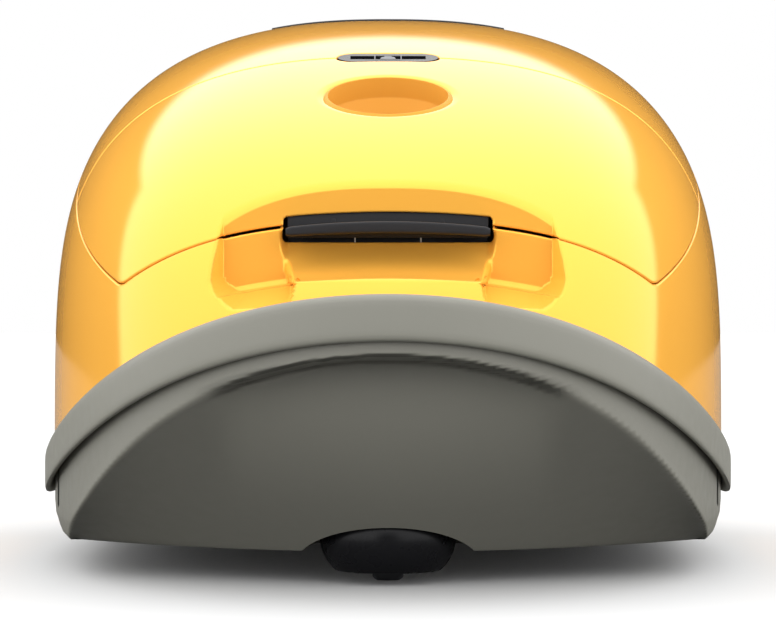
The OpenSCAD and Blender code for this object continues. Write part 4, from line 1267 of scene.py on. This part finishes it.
def makeGrille():
    g = grilleForm
    frameFields = [lambda p: -ventOutline(p),
                   lambda p: np.where(p[:, 1] > 400, roundBox(p[:, 0], p[:, 2], g["halfX"], g["lowZ"],
                                                              g["highZ"], 4), 99)]
    uv, tris = part(*bodySheet, frameFields)
    rim = wallObject("grilleFrame", uv, tris, *shellPlacer(frameFields, 0.8), 2.3, "darkGrey")
    points, turns = [], []
    tail = np.linspace(1.0, 2.0, 4001)
    tailS = topLine(tail[1:])[0]
    levels = np.arange(g["lowZ"] + g["pitch"] / 2, g["highZ"], g["pitch"])

    def surfaceS(x, z):
        tops = bodyTop(np.full(len(tailS), x), tailS)
        return float(np.interp(-z, -tops[tailS > 400], tailS[tailS > 400]))
    middle = (g["lowZ"] + g["highZ"]) / 2
    xs = np.linspace(-g["halfX"] - 0.6, g["halfX"] + 0.6, 33)
    line = [surfaceS(x, middle) - surfaceS(0, middle) for x in xs]
    rings = []
    for x, ds in zip(xs, line):
        ring = softOutline([(ds - 0.4, -g["slatHigh"] / 2), (ds - 0.4, g["slatHigh"] / 2),
                            (ds - g["slatDeep"], g["slatHigh"] / 2 - 1.4),
                            (ds - g["slatDeep"], -g["slatHigh"] / 2 - 1.4)], 0.6, 2)
        rings.append([(x, length / 2 + s, z) for s, z in ring])
    slat = loft("slat", rings, "darkGrey", 40)
    for z in levels:
        points.append((0, surfaceS(0, z), z))
        turns.append((0, 0, 0))
    bars = repeated("grilleSlats", points, turns, slat, "darkGrey")
    posts = []
    for x in (-15.3, 15.3):
        outline = [(surfaceS(x, z) - 2.6, z) for z in np.linspace(g["lowZ"] - 1, g["highZ"] + 1, 14)]
        outline += [(s - 2.2, z) for s, z in outline[::-1]]
        posts.append(prism("grillePost", outline, (1, 2, 0), x - 1, x + 1, "darkGrey", 0.2))
    place(join("exhaustGrille", [rim, bars] + posts), "rear_grille", "dark_grey", "exhaust_cover")


makeGrille()


# Cord outlet and base screws

outlet = turned("cordOutlet", [(4.5, 454), (7.8, 454), (7.8, 470), (10.4, 471), (10.4, 473), (9.2, 474.2),
                               (5.9, 474.2), (4.5, 472)], (45, 0, 78), (0, 1, 0), "blackMatte", 72, round=0.8)
place(outlet, "chassis", "black_matte", "cord_outlet")


screwForm = {"places": [(e * 100, s) for e in (-1, 1) for s in (170, 250, 300)], "headZ": 15.3, "seatR": 4.2}


def makeScrews():
    head = turned("screwHead", [(0, 0), (2.6, 0), (3.6, 0.9), (3.6, 2.4), (1.9, 2.4), (1.9, 15), (0, 15)],
                  (0, length / 2, 0), (0, 0, 1), "turnedSteel", 32, round=0.3)
    cutter = join("screwCross", [block("a", (-2.1, 2.1), (length / 2 - 0.4, length / 2 + 0.4), (-1, 1.3),
                                       "turnedSteel", 0),
                                 block("b", (-0.4, 0.4), (length / 2 - 2.1, length / 2 + 2.1), (-1, 1.3),
                                       "turnedSteel", 0)])
    cut = head.modifiers.new("cross", "BOOLEAN")
    cut.operation, cut.object, cut.use_self = "DIFFERENCE", cutter, True
    bpy.context.view_layer.update()
    ready = head.evaluated_get(bpy.context.evaluated_depsgraph_get())
    mesh = bpy.data.meshes.new_from_object(ready)
    head.modifiers.clear()
    head.data = mesh
    bpy.data.objects.remove(cutter)
    points = [(x, s, screwForm["headZ"]) for x, s in screwForm["places"]]
    return repeated("baseScrews", points, [(0, 0, 17 * k) for k in range(6)], faceOut(head, 35),
            "turnedSteel")


def makeSeats():
    r = screwForm["seatR"]
    seat = turned("seat", [(r, 0), (r + 1.2, 0), (r + 1.2, 5.4), (2.3, 5.4), (2.3, 4.2), (r, 4.2)],
                  (0, length / 2, 0), (0, 0, 1), "lightGrey", 32, round=0.2)
    points = [(x, s, 13.7) for x, s in screwForm["places"]]
    return repeated("screwSeats", points, [(0, 0, 0)] * 6, seat, "lightGrey")


place(makeScrews(), "chassis", "steel", "housing_screws")
place(makeSeats(), "chassis", "dark_grey")
print("pedals, dial, grille and screws made")


# Dust bag: a fleece pouch blown up a little, then its seam and side folds

bagForm = {"voxel": 0.005, "pressure": 4.0, "frames": 20, "cap": 0.006,
           "middleZ": 96.0, "lowS": 80.0, "highS": 173.0, "halfX": 74.0,
           "lowZ": 59.0, "highFrontZ": 122.0, "highBackZ": 137.0}


def makeBag():
    b = bagForm
    columns, rows = 40, 26
    centre = np.array([0, (b["lowS"] + b["highS"]) / 2, b["middleZ"]])
    verts, faces = [], []
    for i in range(rows + 1):
        lat = math.pi * (i / rows - 0.5)
        for j in range(columns):
            lon = 2 * math.pi * j / columns
            d = np.array([math.cos(lat) * math.cos(lon), math.cos(lat) * math.sin(lon), math.sin(lat)])
            q = np.sign(d) * np.abs(d) ** 0.42
            s = centre[1] + q[1] * (b["highS"] - b["lowS"]) / 2
            rise = (s - b["lowS"]) / (b["highS"] - b["lowS"])
            roof = b["highFrontZ"] + (b["highBackZ"] - b["highFrontZ"]) * rise
            z = centre[2] + q[2] * ((roof - centre[2]) if q[2] > 0 else (centre[2] - b["lowZ"]))
            verts.append((q[0] * b["halfX"], s, z))
    for i in range(rows):
        for j in range(columns):
            k = (j + 1) % columns
            faces.append([i * columns + j, i * columns + k, (i + 1) * columns + k, (i + 1) * columns + j])
    bag = faceOut(meshObject("dustPouch", verts, faces, "bagFleece"))
    remesh = bag.modifiers.new("remesh", "REMESH")
    remesh.mode, remesh.voxel_size = "VOXEL", b["voxel"]
    bpy.context.view_layer.update()
    bag.data = bpy.data.meshes.new_from_object(bag.evaluated_get(bpy.context.evaluated_depsgraph_get()))
    bag.modifiers.clear()
    start = np.zeros(len(bag.data.vertices) * 3)
    bag.data.vertices.foreach_get("co", start)
    start = start.reshape(-1, 3)
    moved = start
    scene = bpy.context.scene
    cloth = bag.modifiers.new("cloth", "CLOTH")
    cloth.settings.use_pressure = True
    cloth.settings.uniform_pressure_force = b["pressure"]
    cloth.settings.effector_weights.gravity = 0
    cloth.point_cache.frame_start, cloth.point_cache.frame_end = 1, b["frames"]
    for frameNumber in range(1, b["frames"] + 1):
        scene.frame_set(frameNumber)
    ready = bag.evaluated_get(bpy.context.evaluated_depsgraph_get())
    moved = np.zeros(len(start) * 3)
    ready.data.vertices.foreach_get("co", moved)
    moved = moved.reshape(-1, 3)
    bag.modifiers.clear()
    scene.frame_set(1)
    step = moved - start
    size = np.linalg.norm(step, axis=1, keepdims=True)
    step *= np.minimum(1, b["cap"] / np.maximum(size, 1e-9))
    p = start + step
    mm = p * 1000 + np.array([0, length / 2, 0])
    # a welded seam stands out round the middle, and the sides fold inwards behind it
    away = np.abs(mm[:, 2] - b["middleZ"])
    out = (mm - centre) * np.array([1, 1, 0])
    out /= np.maximum(np.linalg.norm(out, axis=1, keepdims=True), 1e-6)
    seam = 2.4 * np.exp(-(away / 2.2) ** 2) - 3.2 * np.exp(-((away - 9.0) / 5.0) ** 2)
    mm = mm + out * seam[:, None] * np.clip((np.abs(mm[:, [0]]) - 20) / 30, 0.25, 1)
    # soft creases that run away from the collar
    angle = np.arctan2(mm[:, 0], mm[:, 1] - 128)
    up = np.clip((mm[:, 2] - 104) / 20, 0, 1)
    mm[:, 2] += 0.9 * up * np.sin(angle * 9 + 0.8 * np.sin(mm[:, 0] * 0.09)) * np.clip(
        np.hypot(mm[:, 0], mm[:, 1] - 128) / 40, 0, 1)
    mm[:, 0] = np.clip(mm[:, 0], -79.2, 79.2)
    mm[:, 1] = np.clip(mm[:, 1], 75.0, 177.4)
    mm[:, 2] = np.clip(mm[:, 2], 55.0, 141.0)
    bag.data.vertices.foreach_set("co", ((mm - np.array([0, length / 2, 0])) * 0.001).ravel())
    bag.data.polygons.foreach_set("use_smooth", [True] * len(bag.data.polygons))
    finer = bag.modifiers.new("finer", "SUBSURF")
    finer.levels = finer.render_levels = 1
    bpy.context.view_layer.update()
    bag.data = bpy.data.meshes.new_from_object(bag.evaluated_get(bpy.context.evaluated_depsgraph_get()))
    bag.modifiers.clear()
    bag.data.materials.clear()
    bag.data.materials.append(finishes["bagFleece"])
    return bag


bag = place(makeBag(), "chassis", "bag_paper", "dust_bag")
print("dust bag made")


# Filters: folded fleece in a fleece rim

def pleated(name, xs, ss, zs, folds, material, slotName, node):
    count = folds * 2
    x = np.linspace(xs[0] + 1.5, xs[1] - 1.5, count + 1)
    front = [(x[i], ss[0] + 0.3 if i % 2 else ss[0] + 2.6) for i in range(count + 1)]
    back = [(x[i], ss[1] - 2.6 if i % 2 else ss[1] - 0.3) for i in range(count, -1, -1)]
    folded = prism(name + "Folds", softOutline(front + back, 0.7, 2), (0, 1, 2), zs[0] + 1.5, zs[1] - 1.5,
                   material, 0)
    rim = [block(name + "Rim", a, b, c, "filterFleece", 0.4) for a, b, c in (
        (xs, ss, (zs[0], zs[0] + 2)), (xs, ss, (zs[1] - 2, zs[1])),
        ((xs[0], xs[0] + 2), ss, (zs[0] + 2, zs[1] - 2)), ((xs[1] - 2, xs[1]), ss, (zs[0] + 2, zs[1] - 2)))]
    return place(join(name, [folded] + rim), "chassis", slotName, node)


pleated("motorFilter", (-47.8, 47.8), (190.5, 195.7), (50.2, 145.8), 18, "filterFleece", "filter_fleece",
        "motor_filter")
pleated("exhaustFilter", (-46, 46), (424.2, 443.8), (122, 178), 16, "filterFleece", "filter_fleece",
        "exhaust_filter")


# Finishes for the parts that keep their own shape

keptFinishes = {
    "darkGrey": ["dust_chamber", "bag_holder", "filter_frame", "reel_base"],
    "softRubber": ["chamber_seal", "motor_mounts", "motor_leads", "socket_seal"],
    "pressedCard": ["bag_collar"],
    "turnedSteel": ["fan_housing", "motor_frame", "motor_bearings", "wheel_axles", "castor_mount",
                    "castor_axle", "rotor_shaft", "impeller", "reel_spring"],
    "stackedIron": ["stator_core"],
    "copperWire": ["field_coils", "armature", "commutator"],
    "pressedCarbon": ["carbon_brushes"],
    "boardGreen": ["circuit_board"],
    "blackMatte": ["power_switch", "dial_control", "parking_socket", "hinge_bracket", "hinge_arms",
                   "lever_bracket", "brake_lever"],
    "lightGrey": ["reel_drum"],
    "flagRed": ["indicator_flag"],
    "blackGloss": ["indicator_housing"]}
for finish, names in keptFinishes.items():
    for name in names:
        if len(nodes[name].data.materials) == 0:
            nodes[name].data.materials.append(finishes[finish])
        for index in range(len(nodes[name].data.materials)):
            nodes[name].data.materials[index] = finishes[finish]
print("kept parts:", sum(len(names) for names in keptFinishes.values()))


# Floor, light and camera

stageForm = {"floorTone": 0.6, "bounceTone": 0.14, "whiteStrength": 1.0, "glossStrength": 2.2,
             "skySide": 0.7, "skyLow": 3.2,
             "skyFall": 2.2, "flagGlow": 0.02, "keyPower": 2.0}


def makeStage():
    floor = meshObject("floor", [(-6000, -6000, 0), (6000, -6000, 0), (6000, 9000, 0), (-6000, 9000, 0)],
                       [[0, 1, 2, 3]], bpy.data.materials.new("floorPaper"))
    material = floor.data.materials[0]
    material.use_nodes = True
    tree = material.node_tree
    tree.nodes.clear()
    out = tree.nodes.new("ShaderNodeOutputMaterial")
    rays = tree.nodes.new("ShaderNodeLightPath")
    mix = tree.nodes.new("ShaderNodeMixShader")
    for k, tone in ((1, stageForm["bounceTone"]), (2, stageForm["floorTone"])):
        paper = tree.nodes.new("ShaderNodeBsdfDiffuse")
        paper.inputs["Color"].default_value = (tone, tone, tone, 1)
        tree.links.new(paper.outputs[0], mix.inputs[k])
    tree.links.new(rays.outputs["Is Camera Ray"], mix.inputs[0])
    tree.links.new(mix.outputs[0], out.inputs["Surface"])

    world = bpy.data.worlds.new("studio")
    bpy.context.scene.world = world
    world.use_nodes = True
    tree = world.node_tree
    tree.nodes.clear()
    out = tree.nodes.new("ShaderNodeOutputWorld")
    rays = tree.nodes.new("ShaderNodeLightPath")
    direction = tree.nodes.new("ShaderNodeTexCoord").outputs["Generated"]
    split = tree.nodes.new("ShaderNodeSeparateXYZ")
    tree.links.new(direction, split.inputs[0])

    def maths(kind, a, b=None, c=None):
        node = tree.nodes.new("ShaderNodeMath")
        node.operation = kind
        for k, value in enumerate((a, b, c)):
            if value is None:
                continue
            if isinstance(value, (int, float)):
                node.inputs[k].default_value = value
            else:
                tree.links.new(value, node.inputs[k])
        return node.outputs[0]

    x, y, z = split.outputs
    # a big softbox overhead that wraps forwards; a dark flag stands low behind and another round the lens
    overTop = maths("SUBTRACT", z, maths("MULTIPLY_ADD", maths("ABSOLUTE", x), 0.22, 0.36))
    forward = maths("SUBTRACT", maths("MULTIPLY_ADD", z, 0.33, 0.53), y)
    box = maths("MAXIMUM", overTop, forward)
    lens = maths("SUBTRACT", 0.94, maths("MULTIPLY", y, -1.0))
    box = maths("MINIMUM", box, lens)
    mask = tree.nodes.new("ShaderNodeMapRange")
    mask.inputs["From Min"].default_value = -0.02
    mask.inputs["From Max"].default_value = 0.02
    mask.inputs["To Min"].default_value = stageForm["flagGlow"]
    mask.inputs["To Max"].default_value = 1.0
    tree.links.new(box, mask.inputs["Value"])

    def light(strength):
        node = tree.nodes.new("ShaderNodeBackground")
        node.inputs["Color"].default_value = (1, 1, 1, 1)
        if isinstance(strength, (int, float)):
            node.inputs["Strength"].default_value = strength
        else:
            tree.links.new(strength, node.inputs["Strength"])
        return node.outputs[0]

    def pick(factor, first, second):
        node = tree.nodes.new("ShaderNodeMixShader")
        tree.links.new(factor, node.inputs[0])
        tree.links.new(first, node.inputs[1])
        tree.links.new(second, node.inputs[2])
        return node.outputs[0]

    sides = maths("MULTIPLY_ADD", maths("ABSOLUTE", x), stageForm["skySide"], stageForm["skyLow"])
    soft = light(maths("MULTIPLY_ADD", z, -stageForm["skyFall"], sides))
    shine = light(maths("MULTIPLY", mask.outputs[0], stageForm["glossStrength"]))
    plain = light(stageForm["whiteStrength"])
    seen = pick(rays.outputs["Is Camera Ray"], pick(rays.outputs["Is Glossy Ray"], soft, shine), plain)
    tree.links.new(seen, out.inputs["Surface"])

    key = bpy.data.lights.new("overhead", "AREA")
    key.shape = "RECTANGLE"
    key.size, key.size_y = 1.2, 1.0
    key.energy = stageForm["keyPower"]
    lamp = bpy.data.objects.new("overhead", key)
    lamp.location = (0, -0.35, 1.3)
    lamp.rotation_euler = (math.radians(-12), 0, 0)
    lamp.visible_glossy = False
    lamp.visible_camera = False
    bpy.context.scene.collection.objects.link(lamp)

    cam = bpy.data.cameras.new("camera")
    cam.sensor_width = 36.0
    cam.lens = 36.0 * 3100 / 776
    eye = bpy.data.objects.new("camera", cam)
    eye.location = (0, -1.338, 0.110)
    eye.rotation_euler = (math.radians(90) - math.atan2(20, 3100), 0, 0)
    cam.clip_start, cam.clip_end = 0.05, 60
    bpy.context.scene.collection.objects.link(eye)
    bpy.context.scene.camera = eye
    bpy.context.scene.view_settings.view_transform = "Standard"
    bpy.context.scene.view_settings.look = "None"


makeStage()
print("stage made")
